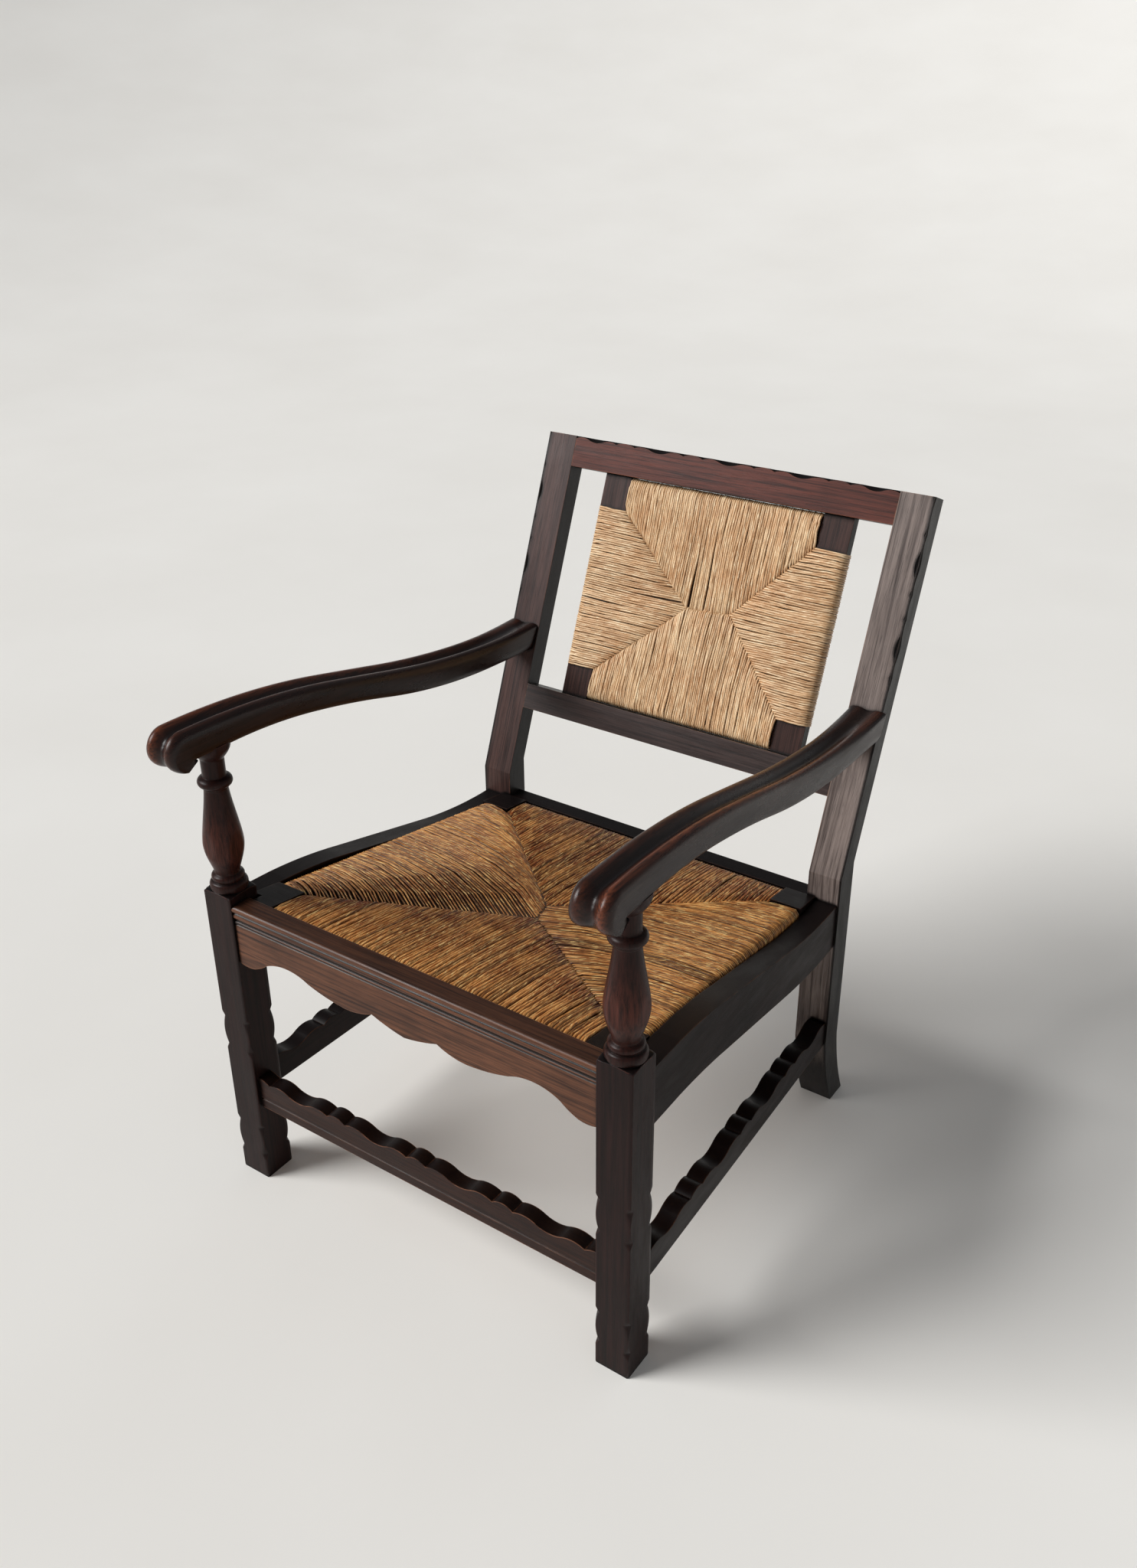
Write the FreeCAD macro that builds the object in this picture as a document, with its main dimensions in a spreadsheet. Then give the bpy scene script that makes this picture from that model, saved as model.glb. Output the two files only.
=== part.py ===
"""A rush seat armchair in dark oak, with a raked back and a drop-in seat.

The chair stands on z = 0 and faces -Y, with +X to its left hand side as seen from the front.
It is drawn with y = 0 at the front faces of the front legs, and moved at the end so that the
origin lies under the middle of its box. The back lies in a raked frame: its own Z runs up the
front faces of the stiles, from the bend in the rear legs. All lengths are millimetres.
"""

import FreeCAD
import Part
import math
import os

Vector = FreeCAD.Vector
Placement = FreeCAD.Placement
Rotation = FreeCAD.Rotation

document = FreeCAD.newDocument("rush_seat_armchair")
sheet = document.addObject("Spreadsheet::Sheet", "sizes")

# The driving dimensions: name and value
SIZES = (
    # plan of the chair, over the legs
    ("front_width", 617.4),
    ("rear_width", 580.0),
    ("leg_distance", 531.0),
    # front legs and the turned supports above them
    ("leg_width", 45.0),
    ("leg_depth", 44.0),
    ("block_stand", 15.5),
    ("shoulder_drop", 4.0),
    ("support_height", 194.5),
    ("vase_radius", 24.4),
    ("bead_radius", 23.2),
    ("collar_radius", 20.8),
    ("neck_radius", 14.1),
    ("flare_radius", 23.5),
    ("arm_pin_radius", 9.0),
    ("arm_pin_length", 20.0),
    ("notch_depth", 3.8),
    ("notch_run", 8.0),
    ("notch_spacing", 45.0),
    ("upper_notch_height", 231.0),
    ("lower_notch_height", 60.5),
    # rear legs
    ("rear_leg_width", 46.0),
    ("rear_leg_depth", 36.0),
    ("bend_stand", 35.0),
    ("rake_angle", 21.3),
    ("stile_length", 496.3),
    ("stile_depth", 29.5),
    ("foot_kick", 36.0),
    ("foot_height", 120.0),
    # scalloped edges
    ("lobe_length", 30.0),
    ("scallop_depth", 9.3),
    ("back_scallop_depth", 4.2),
    ("stile_carving", 3.8),
    # front seat rail
    ("rail_setback", 3.0),
    ("front_rail_depth", 25.0),
    ("front_rail_stand", 4.0),
    ("apron_height", 84.0),
    ("reed_height", 9.0),
    ("reed_relief", 2.4),
    # side seat rails
    ("side_rail_setback", 3.0),
    ("side_rail_thickness", 30.0),
    ("side_rail_front_drop", 8.5),
    ("side_rail_rear_drop", 4.0),
    ("side_rail_front_height", 76.5),
    ("side_rail_rear_height", 64.0),
    ("ledge_width", 12.0),
    # rear seat rail
    ("rear_rail_depth", 25.0),
    ("rear_rail_drop", 2.0),
    ("rear_rail_height", 58.0),
    # stretchers
    ("stretcher_thickness", 20.0),
    ("stretcher_height", 46.5),
    ("front_stretcher_setback", 6.0),
    ("front_stretcher_bottom", 120.0),
    ("side_stretcher_bottom", 120.5),
    ("side_stretcher_height", 42.0),
    ("side_stretcher_thickness", 23.0),
    ("scratch_line_height", 14.0),
    ("scratch_line_width", 2.4),
    ("scratch_line_depth", 1.2),
    # the back
    ("back_rail_depth", 26.0),
    ("top_rail_height", 42.4),
    ("lower_rail_height", 35.7),
    ("lower_rail_rise", 101.5),
    ("post_width", 42.0),
    ("post_depth", 15.0),
    ("post_setback", 10.0),
    ("panel_gap", 55.0),
    ("back_block_height", 40.0),
    ("back_low_block_height", 37.0),
    ("rush_rail_gap", 5.0),
    # rush
    ("rush_layer", 5.0),
    ("rush_dish", 4.0),
    ("rush_edge_radius", 7.0),
    # arms
    ("arm_width", 48.0),
    ("arm_thickness", 38.5),
    ("arm_fall", 80.5),
    ("arm_offset", 3.0),
    ("knuckle_reach", 74.0),
    ("reed_round", 9.0),
    ("quirk_depth", 6.0),
    ("arm_tenon_height", 22.0),
    ("arm_tenon_length", 18.0),
    # drop-in seat
    ("seat_front_height", 428.0),
    ("seat_fall", 76.0),
    ("seat_thickness", 26.0),
    ("seat_side_member", 44.0),
    ("seat_front_member", 60.0),
    ("seat_rear_member", 47.0),
    ("seat_gap", 1.0),
    ("seat_leg_gap", 3.5),
    ("seat_rest_gap", 0.3),
    # mortise and tenon joints
    ("tenon_thickness", 10.0),
    ("tenon_length", 20.0),
    ("front_tenon_length", 22.0),
    ("tenon_shoulder", 8.0),
    ("fit_gap", 0.2),
    # how far a cut runs past what it cuts
    ("overrun", 5.0),
)

for row, (alias, value) in enumerate(SIZES, start=1):
    sheet.set("A%d" % row, alias)
    sheet.set("B%d" % row, str(value))
    sheet.setAlias("B%d" % row, alias)
document.recompute()


def size(alias):
    """The value of a driving dimension"""
    return float(sheet.get(alias))


front_half = size("front_width") / 2
rear_half = size("rear_width") / 2
leg_inner = front_half - size("leg_width")
rear_inner = rear_half - size("rear_leg_width")
leg_back = size("leg_depth")
rear_front = size("leg_distance")
overrun = size("overrun")
rake = math.radians(size("rake_angle"))
seat_front_top = size("seat_front_height")
seat_rear_top = seat_front_top - size("seat_fall")
bend_height = seat_rear_top + size("bend_stand")
raked_frame = Placement(
    Vector(0, rear_front, bend_height), Rotation(Vector(1, 0, 0), -size("rake_angle"))
)
level_frame = Placement()


def raked_front(height):
    """y of the stiles' front faces at a height above the floor"""
    return rear_front + (height - bend_height) * math.tan(rake)


# Pieces, their frames in the chair, and the sketches and features they are made of

pieces = {}
frames = {}


def new_piece(node, frame=level_frame):
    body = document.addObject("PartDesign::Body", node)
    body.Label = node
    pieces[node] = body
    frames[node] = frame
    return body


def outline(start, *steps):
    """A closed outline: each step is the next corner, or a pair of a point on an arc and its end"""
    edges = []
    here = Vector(start[0], start[1], 0)
    first = here
    for step in steps:
        if isinstance(step[0], tuple):
            through = Vector(step[0][0], step[0][1], 0)
            there = Vector(step[1][0], step[1][1], 0)
            edges.append(Part.Arc(here, through, there))
        else:
            there = Vector(step[0], step[1], 0)
            edges.append(Part.LineSegment(here, there))
        here = there
    edges.append(Part.LineSegment(here, first))
    return edges


def rectangle(low, high):
    return outline(low, (high[0], low[1]), high, (low[0], high[1]))


def new_sketch(body, role, edges, lift="0"):
    """A sketch on one of the body's own planes, lifted off it by an expression"""
    sketch = body.newObject("Sketcher::SketchObject", body.Label + "_sketch")
    plane = next(item for item in body.Origin.OriginFeatures if item.Role == role)
    sketch.AttachmentSupport = [(plane, "")]
    sketch.MapMode = "FlatFace"
    sketch.setExpression("AttachmentOffset.Base.z", lift)
    sketch.addGeometry(edges, False)
    return sketch


def pad(body, sketch, length, side="One side"):
    feature = body.newObject("PartDesign::Pad", body.Label + "_pad")
    feature.Profile = sketch
    feature.SideType = side
    feature.setExpression("Length", length)
    return feature


def cut_through(body, sketch):
    feature = body.newObject("PartDesign::Pocket", body.Label + "_pocket")
    feature.Profile = sketch
    feature.Type = "ThroughAll"
    feature.SideType = "Symmetric"
    return feature


def turn(body, kind, sketch):
    """Revolves a sketch about the body's own Z axis"""
    feature = body.newObject("PartDesign::" + kind, body.Label + "_turned")
    feature.Profile = sketch
    axis = next(item for item in body.Origin.OriginFeatures if item.Role == "Z_Axis")
    feature.ReferenceAxis = (axis, [""])
    feature.Angle = 360
    return feature


def box_feature(body, kind, low, high, frame):
    """A box between two corners given in a frame of the chair, put in the body's own frame"""
    corner = [min(a, b) for a, b in zip(low, high)]
    spans = [abs(a - b) for a, b in zip(low, high)]
    feature = body.newObject("PartDesign::" + kind + "Box", body.Label + "_" + kind.lower())
    feature.Length, feature.Width, feature.Height = spans
    feature.Placement = frames[body.Label].inverse() * frame * Placement(Vector(*corner), Rotation())
    return feature


def tenon(male, female, low, high, frame=level_frame):
    """A tenon on one piece and its mortise, wider by the fit gap all round, in the other"""
    gap = size("fit_gap")
    box_feature(pieces[male], "Additive", low, high, frame)
    low, high = [min(a, b) for a, b in zip(low, high)], [max(a, b) for a, b in zip(low, high)]
    box_feature(
        pieces[female], "Subtractive", [a - gap for a in low], [b + gap for b in high], frame
    )


def waste_round(side, low, high):
    """What is sawn off a board round its side view"""
    reach = 2 * rear_front
    return rectangle((-reach, low - overrun), (reach, high + overrun)) + side


def board(node, plan, low, high, side):
    """A board sawn to an outline seen from above, then to an outline seen from its side"""
    body = new_piece(node)
    plan_sketch = new_sketch(body, "XY_Plane", plan, str(low))
    pad(body, plan_sketch, str(high - low))
    cut_through(body, new_sketch(body, "YZ_Plane", waste_round(side, low, high)))
    return body


def mirrored(points, side):
    return [(side * x, y) for x, y in points]


# Scalloped edges: small lobes between V-shaped notches, parted by long double-crested waves.
# Heights are shares of the scallop depth, places are shares of the wave's length.
notch_drop_share = 0.59
crest_place_share = 0.16
crest_drop_share = 0.18
turn_place_share = 0.31
turn_drop_share = 0.5


def scallops(places, depth):
    """Arcs along an edge, as pairs of a through point and an end point, from kind and end place.

    places is a list that starts with the first place and goes on with (kind, end place).
    """
    notch = -depth * notch_drop_share
    steps = []
    here = places[0]
    for kind, there in places[1:]:
        span = there - here
        if kind == "lobe":
            steps.append(((here + span / 2, 0), (there, notch)))
        if kind == "lobe start":
            steps.append(((here + span / 2, notch / 4), (there, notch)))
        if kind == "lobe end":
            steps.append(((here + span / 2, notch / 4), (there, 0)))
        if kind == "wave":
            crest = span * crest_place_share
            bend = span * turn_place_share
            crest_height = -depth * crest_drop_share
            turn_height = -depth * turn_drop_share
            steps.append(((here + crest, crest_height), (here + bend, turn_height)))
            steps.append(((here + span / 2, -depth), (there - bend, turn_height)))
            steps.append(((there - crest, crest_height), (there, notch)))
        here = there
    return steps


def placed(steps, place):
    """The same arcs with each point moved by a function of along and up"""
    return [(place(*through), place(*end)) for through, end in steps]


# Front legs: a square block with scalloped arrises, and a turned arm support above it
support_x = front_half - size("leg_width") / 2
support_y = size("leg_depth") / 2
block_top = seat_front_top + size("block_stand")
arm_seat = block_top + size("support_height")


def flats(start, through, end, count):
    """Corners of a turned curve, drawn as a few short flats on the arc through three points"""
    arc = Part.Arc(*[Vector(x, y, 0) for x, y in (start, through, end)])
    low, high = arc.FirstParameter, arc.LastParameter
    points = [arc.value(low + (high - low) * i / count) for i in range(1, count + 1)]
    return [(point.x, point.y) for point in points]


def support_profile():
    """Half of the turned support: heights and radii as shares of its height and of its sizes"""
    rise = size("support_height")
    bead = size("bead_radius")
    vase = size("vase_radius")
    neck = size("neck_radius")
    collar = size("collar_radius")
    pin = size("arm_pin_radius")
    low_bead_share, high_bead_share, foot_share = 0.067, 0.113, 0.128
    belly_share, waist_share, collar_top_share = 0.318, 0.718, 0.782
    throat_share, cap_share = 0.905, 0.95
    root_share, high_bead_size, high_root_share, foot_size = 0.92, 0.86, 0.76, 1.09
    foot_swell_share, neck_swell_share, cap_size = 0.83, 0.825, 0.87
    flare = size("flare_radius")
    root = bead * root_share
    foot = neck * foot_size

    def at(radius, share):
        return (radius, block_top + rise * share)

    low_bead = at(bead, low_bead_share / 2)
    high_bead = at(bead * high_bead_size, (low_bead_share + high_bead_share) / 2)
    low_root = at(bead * high_root_share, low_bead_share)
    low_belly = at(vase * foot_swell_share, (foot_share + belly_share) / 2)
    high_belly = at(vase * neck_swell_share, (belly_share + waist_share) / 2)
    ring = at(collar, (waist_share + collar_top_share) / 2)
    cap = at(flare * cap_size, cap_share)
    pin_top = arm_seat + size("arm_pin_length")
    return outline(
        (0, block_top - size("shoulder_drop")),
        (root, block_top - size("shoulder_drop")),
        at(root, 0),
        *flats(at(root, 0), low_bead, low_root, 2),
        *flats(low_root, high_bead, at(foot, high_bead_share), 2),
        at(foot, foot_share),
        *flats(at(foot, foot_share), low_belly, at(vase, belly_share), 3),
        *flats(at(vase, belly_share), high_belly, at(neck, waist_share), 3),
        *flats(at(neck, waist_share), ring, at(neck, collar_top_share), 3),
        at(neck, throat_share),
        *flats(at(neck, throat_share), cap, at(flare, 1), 2),
        at(pin, 1),
        (pin, pin_top),
        (0, pin_top),
    )


def front_leg(node, side):
    frame = Placement(Vector(side * support_x, support_y, 0), Rotation())
    body = new_piece(node, frame)
    half_width = size("leg_width") / 2
    half_depth = size("leg_depth") / 2
    block = rectangle((-half_width, -half_depth), (half_width, half_depth))
    pad(body, new_sketch(body, "XY_Plane", block), "sizes.seat_front_height + sizes.block_stand")
    turn(body, "Revolution", new_sketch(body, "XZ_Plane", support_profile()))
    corner = math.hypot(half_width, half_depth)
    drop = size("shoulder_drop")
    shoulder = outline(
        (half_depth, block_top),
        *flats(
            (half_depth, block_top),
            (corner - drop / 4, block_top - drop / 2),
            (corner + overrun, block_top - 2 * drop),
            2,
        ),
        (corner + overrun, block_top + overrun),
        (half_depth, block_top + overrun),
    )
    turn(body, "Groove", new_sketch(body, "XZ_Plane", shoulder))
    arris = []
    depth = size("notch_depth")
    ease = depth / 12
    for height in (size("upper_notch_height"), size("lower_notch_height")):
        top = height + size("notch_spacing") / 2
        bottom = height - size("notch_spacing") / 2
        for way in (-1, 1):
            edge = way * corner
            apex = way * (corner - depth)
            arris += outline(
                (edge, top + size("notch_run")),
                (apex, top),
                ((way * (corner - ease), height), (apex, bottom)),
                (edge, bottom - size("notch_run")),
                (way * (corner + overrun), bottom - size("notch_run")),
                (way * (corner + overrun), top + size("notch_run")),
            )
    diagonal = math.degrees(math.atan2(half_depth, half_width))
    for angle in (diagonal, -diagonal):
        sketch = new_sketch(body, "XZ_Plane", arris)
        sketch.AttachmentOffset = Placement(Vector(), Rotation(Vector(0, 1, 0), angle))
        cut_through(body, sketch)


front_leg("front_leg_left", 1)
front_leg("front_leg_right", -1)


# Rear legs: a kicked foot, an upright part and a raked stile with a carved front arris
arris_tilt = 45
stile_top = size("stile_length")
stile_span = size("stile_length") - size("lower_rail_rise")


def arris_waste():
    """What is carved off the outer front arris of a stile, drawn outwards from the arris"""
    wave_share, lobe_share, top_lobe_share, last_lobe_share = 0.19, 0.078, 0.12, 0.088
    depth = size("stile_carving")
    ends = [stile_top]
    for kind, share in (
        ("lobe", top_lobe_share),
        ("wave", wave_share),
        ("lobe", lobe_share),
        ("wave", wave_share),
        ("lobe end", last_lobe_share),
    ):
        here = ends[-1] if len(ends) == 1 else ends[-1][1]
        ends.append((kind, here - stile_span * share))
    steps = placed(scallops(ends, depth), lambda along, up: (up, along))
    start = (-depth * notch_drop_share, stile_top)
    return outline(start, *steps, (overrun, ends[-1][1]), (overrun, stile_top))


def rear_leg(node, side):
    body = new_piece(node)
    kick = size("foot_kick")
    foot = size("foot_height")
    depth = size("rear_leg_depth")
    bend = bend_height
    rise = size("stile_length")
    back = size("stile_depth")
    kick_middle_share, foot_middle_share = 0.36, 0.5
    top_y = rear_front + rise * math.sin(rake)
    top_z = bend + rise * math.cos(rake)
    back_y = rear_front + back / math.cos(rake)
    back_bend = bend + (rear_front + depth - back_y) / math.tan(rake)
    middle = foot * foot_middle_share
    side_view = outline(
        (rear_front + kick, 0),
        ((rear_front + kick * kick_middle_share, middle), (rear_front, foot)),
        (rear_front, bend),
        (top_y, top_z),
        (top_y + back * math.cos(rake), top_z - back * math.sin(rake)),
        (rear_front + depth, back_bend),
        (rear_front + depth, foot),
        ((rear_front + depth + kick * kick_middle_share, middle), (rear_front + depth + kick, 0)),
    )
    lift = "sizes.rear_width / 2 - sizes.rear_leg_width" if side > 0 else "-sizes.rear_width / 2"
    pad(body, new_sketch(body, "YZ_Plane", side_view, lift), "sizes.rear_leg_width")
    outwards = Rotation(Vector(0, 1, 0), -90 + side * arris_tilt)
    sketch = new_sketch(body, "XZ_Plane", arris_waste(), "-sizes.leg_distance")
    sketch.AttachmentOffset = Placement(
        Vector(side * rear_half, bend, -rear_front),
        Rotation(Vector(1, 0, 0), -size("rake_angle")) * outwards,
    )
    cut_through(body, sketch)


rear_leg("rear_leg_left", 1)
rear_leg("rear_leg_right", -1)


# The drop-in seat lies on a slope, just behind the front rail, on ledges of the seat rails
rail_face = size("rail_setback")
rail_back = rail_face + size("front_rail_depth")
seat_front = rail_back + size("seat_gap")
seat_back = rear_front - size("seat_gap") - size("fit_gap")
seat_slope = size("seat_fall") / (seat_back - seat_front)
ledge_depth = size("seat_thickness") + size("seat_rest_gap")


def seat_height(y, below=0.0):
    """Height of a plane parallel to the top of the seat"""
    return seat_front_top - seat_slope * (y - seat_front) - below


def sloped_band(start, end, top, bottom):
    """Side view of a layer that follows the slope, between two depths below the seat's top"""
    return outline(
        (start, seat_height(start, top)),
        (end, seat_height(end, top)),
        (end, seat_height(end, bottom)),
        (start, seat_height(start, bottom)),
    )


# Front seat rail: three reeds along its top edge, a scalloped apron, and a ledge for the seat
rail_top = seat_front_top + size("front_rail_stand")
apron_low = rail_top - size("apron_height")

# Half of the apron's lower edge, from the middle to the leg, as shares of the half length and of
# the apron's height: a point on each arc, then its end
apron_shares = (
    ((0.1, 0.095), (0.183, 0.18)),
    ((0.26, 0.09), (0.345, 0.062)),
    ((0.455, 0.105), (0.56, 0.19)),
    ((0.7, 0.285), (0.82, 0.18)),
    ((0.86, 0.09), (0.905, 0.02)),
    ((0.95, 0.0), (1.0, 0.03)),
)
apron_middle_share = 0.03


def apron_waste():
    floor = apron_low - overrun

    def place(point, side):
        return (side * point[0] * leg_inner, apron_low + point[1] * size("apron_height"))

    middle = (0, apron_low + apron_middle_share * size("apron_height"))
    ends = [(0, apron_middle_share)] + [end for through, end in apron_shares]
    right = [(place(through, 1), place(end, 1)) for through, end in apron_shares]
    left = [
        (place(apron_shares[i][0], -1), place(ends[i], -1))
        for i in reversed(range(len(apron_shares)))
    ]
    start = place(ends[-1], -1)
    assert left[-1][1] == middle
    return outline(start, *left, *right, (leg_inner, floor), (-leg_inner, floor))


def front_rail_section():
    reed = size("reed_height")
    relief = size("reed_relief")
    groove = rail_face + relief / 2
    fillet_share = 0.5
    first, second = rail_top - reed, rail_top - 2 * reed
    quirk = second - relief
    fillet = quirk - reed * fillet_share
    ledge_end = rail_back + size("ledge_width")
    return outline(
        (rail_back, seat_height(rail_back, ledge_depth)),
        (rail_back, rail_top),
        (groove + relief, rail_top),
        ((rail_face - relief, rail_top - reed / 2), (groove, first)),
        ((rail_face - relief / 2, first - reed / 2), (groove, second)),
        (groove, quirk),
        ((rail_face - relief / 4, (quirk + fillet) / 2), (groove, fillet)),
        (rail_face, fillet - relief / 2),
        (rail_face, apron_low),
        (ledge_end, apron_low),
        (ledge_end, seat_height(ledge_end, ledge_depth)),
    )


body = new_piece("front_seat_rail")
pad(
    body,
    new_sketch(body, "YZ_Plane", front_rail_section()),
    "sizes.front_width - 2 * sizes.leg_width",
    "Symmetric",
)
cut_through(body, new_sketch(body, "XZ_Plane", apron_waste()))


# Side seat rails: S-curved boards that narrow the seat towards the back, with ledges inside
side_front_top = seat_front_top - size("side_rail_front_drop")
side_front_bottom = side_front_top - size("side_rail_front_height")
side_rear_top = seat_rear_top - size("side_rail_rear_drop")
side_rear_bottom = side_rear_top - size("side_rail_rear_height")


def side_line(y, inset):
    """x of a line parallel to a side rail's outer face, at a place along the seat"""
    front = front_half - size("side_rail_setback")
    rear = rear_half - size("side_rail_setback")
    share = (y - leg_back) / (rear_front - leg_back)
    return front + (rear - front) * share - inset


def side_strip(side, outer, inner, start=leg_back, end=rear_front):
    """A strip along the side of the seat, between two insets from the side rail's outer face"""
    return outline(
        *mirrored(
            (
                (side_line(start, outer), start),
                (side_line(end, outer), end),
                (side_line(end, inner), end),
                (side_line(start, inner), start),
            ),
            side,
        )
    )


# Places and falls of the S-curve, as shares of the rail's length and of its fall
curve_shares = ((0.12, 0.035), (0.24, 0.125), (0.36, 0.285), (0.72, 0.82), (0.85, 0.955))


def s_curve(front_height, rear_height):
    """Corners and arcs from just after the front end to the rear end"""
    span = rear_front - leg_back
    fall = front_height - rear_height
    shoulder, round_over, slope_start, slope_end, hollow = [
        (leg_back + span * along, front_height - fall * down) for along, down in curve_shares
    ]
    return [shoulder, (round_over, slope_start), slope_end, (hollow, (rear_front, rear_height))]


def backwards(start, steps):
    """The same corners and arcs drawn from their end back to the start"""
    corners = [start] + [step[1] if isinstance(step[0], tuple) else step for step in steps]
    turned = []
    for i in reversed(range(len(steps))):
        is_arc = isinstance(steps[i][0], tuple)
        turned.append((steps[i][0], corners[i]) if is_arc else corners[i])
    return turned


def side_rail(node, side):
    top = s_curve(side_front_top, side_rear_top)
    bottom_start = (leg_back, side_front_bottom)
    bottom = s_curve(side_front_bottom, side_rear_bottom)
    side_view = outline(
        (leg_back, side_front_top),
        *top,
        (rear_front, side_rear_bottom),
        *backwards(bottom_start, bottom),
    )
    body = new_piece(node)
    low = side_rear_bottom - overrun
    high = side_front_top + overrun
    thickness = size("side_rail_thickness")
    ledge_plan = new_sketch(
        body, "XY_Plane", side_strip(side, 0, thickness + size("ledge_width")), str(low)
    )
    pad(body, ledge_plan, str(high - low))
    above = sloped_band(leg_back - overrun, rear_front + overrun, -high, ledge_depth)
    cut_through(body, new_sketch(body, "YZ_Plane", above))
    rail_plan = new_sketch(body, "XY_Plane", side_strip(side, 0, thickness), str(low))
    pad(body, rail_plan, str(high - low))
    cut_through(body, new_sketch(body, "YZ_Plane", waste_round(side_view, low, high)))


side_rail("side_seat_rail_left", 1)
side_rail("side_seat_rail_right", -1)


def sloped_board(node, plan, start, end, top, bottom):
    low = seat_height(end, bottom) - overrun
    high = seat_height(start, top) + overrun
    return board(node, plan, low, high, sloped_band(start, end, top, bottom))


# Rear seat rail: a plain board between the rear legs
body = new_piece("rear_seat_rail")
rear_rail_top = seat_rear_top - size("rear_rail_drop")
rear_rail_bottom = rear_rail_top - size("rear_rail_height")
section = rectangle(
    (rear_front, rear_rail_bottom), (rear_front + size("rear_rail_depth"), rear_rail_top)
)
pad(
    body,
    new_sketch(body, "YZ_Plane", section),
    "sizes.rear_width - 2 * sizes.rear_leg_width",
    "Symmetric",
)


# Stretchers: scalloped along the top, those at the sides follow the plan of the seat
stretcher_rise = size("stretcher_height")
stretcher_setback = size("front_stretcher_setback")
lobe = size("lobe_length")


def front_stretcher():
    body = new_piece("front_stretcher")
    bottom = size("front_stretcher_bottom")
    top = bottom + stretcher_rise
    end_lobe_share = 0.62
    end_lobe = lobe * end_lobe_share
    wave = (2 * leg_inner - 3 * lobe - 2 * end_lobe) / 4
    ends = [-leg_inner, ("lobe start", -leg_inner + end_lobe)]
    for index in range(4):
        ends.append(("wave", ends[-1][1] + wave))
        if index < 3:
            ends.append(("lobe", ends[-1][1] + lobe))
    ends.append(("lobe end", leg_inner))
    edge = placed(scallops(ends, size("scallop_depth")), lambda along, up: (along, top + up))
    front_view = outline((-leg_inner, top), *edge, (leg_inner, bottom), (-leg_inner, bottom))
    sketch = new_sketch(
        body,
        "XZ_Plane",
        front_view,
        "-sizes.front_stretcher_setback - sizes.stretcher_thickness",
    )
    pad(body, sketch, "sizes.stretcher_thickness")
    line = bottom + size("scratch_line_height")
    half_line = size("scratch_line_width") / 2
    scratch = outline(
        (stretcher_setback - overrun, line - half_line),
        (stretcher_setback, line - half_line),
        (stretcher_setback + size("scratch_line_depth"), line),
        (stretcher_setback, line + half_line),
        (stretcher_setback - overrun, line + half_line),
    )
    cut_through(body, new_sketch(body, "YZ_Plane", scratch))


front_stretcher()


def side_stretcher(node, side):
    bottom = size("side_stretcher_bottom")
    top = bottom + size("side_stretcher_height")
    middle = (leg_back + rear_front) / 2
    wave = (rear_front - leg_back - 3 * lobe) / 4
    ends = [leg_back]
    for index in range(4):
        start = leg_back if index == 0 else ends[-1][1]
        ends.append(("wave", start + wave))
        if index < 3:
            ends.append(("lobe", ends[-1][1] + lobe))
    depth = size("scallop_depth")
    edge = placed(scallops(ends, depth), lambda along, up: (along, top + up))
    notch = top - depth * notch_drop_share
    assert abs(middle - (ends[3][1] + ends[4][1]) / 2) < wave
    side_view = outline((leg_back, notch), *edge, (rear_front, bottom), (leg_back, bottom))
    board(
        node,
        side_strip(side, 0, size("side_stretcher_thickness")),
        bottom - overrun,
        top + overrun,
        side_view,
    )


side_stretcher("side_stretcher_left", 1)
side_stretcher("side_stretcher_right", -1)


# The back: two rails between the stiles, and two posts that carry the rush panel
top_rail_base = stile_top - size("top_rail_height")
lower_rail_top = size("lower_rail_rise") + size("lower_rail_height")


def top_rail():
    """The top rail: four lobes and five waves are carved off its front arris, as on the stiles"""
    body = new_piece("top_rail", raked_frame)
    lobes = 4
    end_wave_share = 0.86
    wave = (2 * rear_inner - lobes * lobe) / (lobes - 1 + 2 * end_wave_share)
    ends = [-rear_inner, ("wave", -rear_inner + wave * end_wave_share)]
    for index in range(lobes):
        ends.append(("lobe", ends[-1][1] + lobe))
        ends.append(("wave", rear_inner if index == lobes - 1 else ends[-1][1] + wave))
    front_view = rectangle((-rear_inner, top_rail_base), (rear_inner, stile_top))
    pad(
        body,
        new_sketch(body, "XZ_Plane", front_view, "-sizes.back_rail_depth"),
        "sizes.back_rail_depth",
    )
    depth = size("back_scallop_depth")
    waste = outline(
        (-rear_inner, -depth * notch_drop_share),
        *scallops(ends, depth),
        (rear_inner, overrun),
        (-rear_inner, overrun),
    )
    sketch = new_sketch(body, "XZ_Plane", waste)
    sketch.AttachmentOffset = Placement(
        Vector(0, stile_top, 0), Rotation(Vector(1, 0, 0), arris_tilt)
    )
    cut_through(body, sketch)


def raked_board(node, low, high, front, back):
    """A straight board of the back: corners as (across, up the slope), front and back depths"""
    body = new_piece(node, raked_frame)
    sketch = new_sketch(body, "XZ_Plane", rectangle(low, high), "-" + back)
    pad(body, sketch, back + " - " + front)


top_rail()
raked_board(
    "lower_back_rail",
    (-rear_inner, size("lower_rail_rise")),
    (rear_inner, lower_rail_top),
    "0",
    "sizes.back_rail_depth",
)
panel_half = rear_inner - size("panel_gap")
post_inner = panel_half - size("post_width")
post_front = size("post_setback")
post_back = post_front + size("post_depth")
POST_BACK = "(sizes.post_setback + sizes.post_depth)"
for node, side in (("back_post_left", 1), ("back_post_right", -1)):
    low_x, high_x = sorted((side * post_inner, side * panel_half))
    raked_board(
        node, (low_x, lower_rail_top), (high_x, top_rail_base), "sizes.post_setback", POST_BACK
    )

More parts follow.
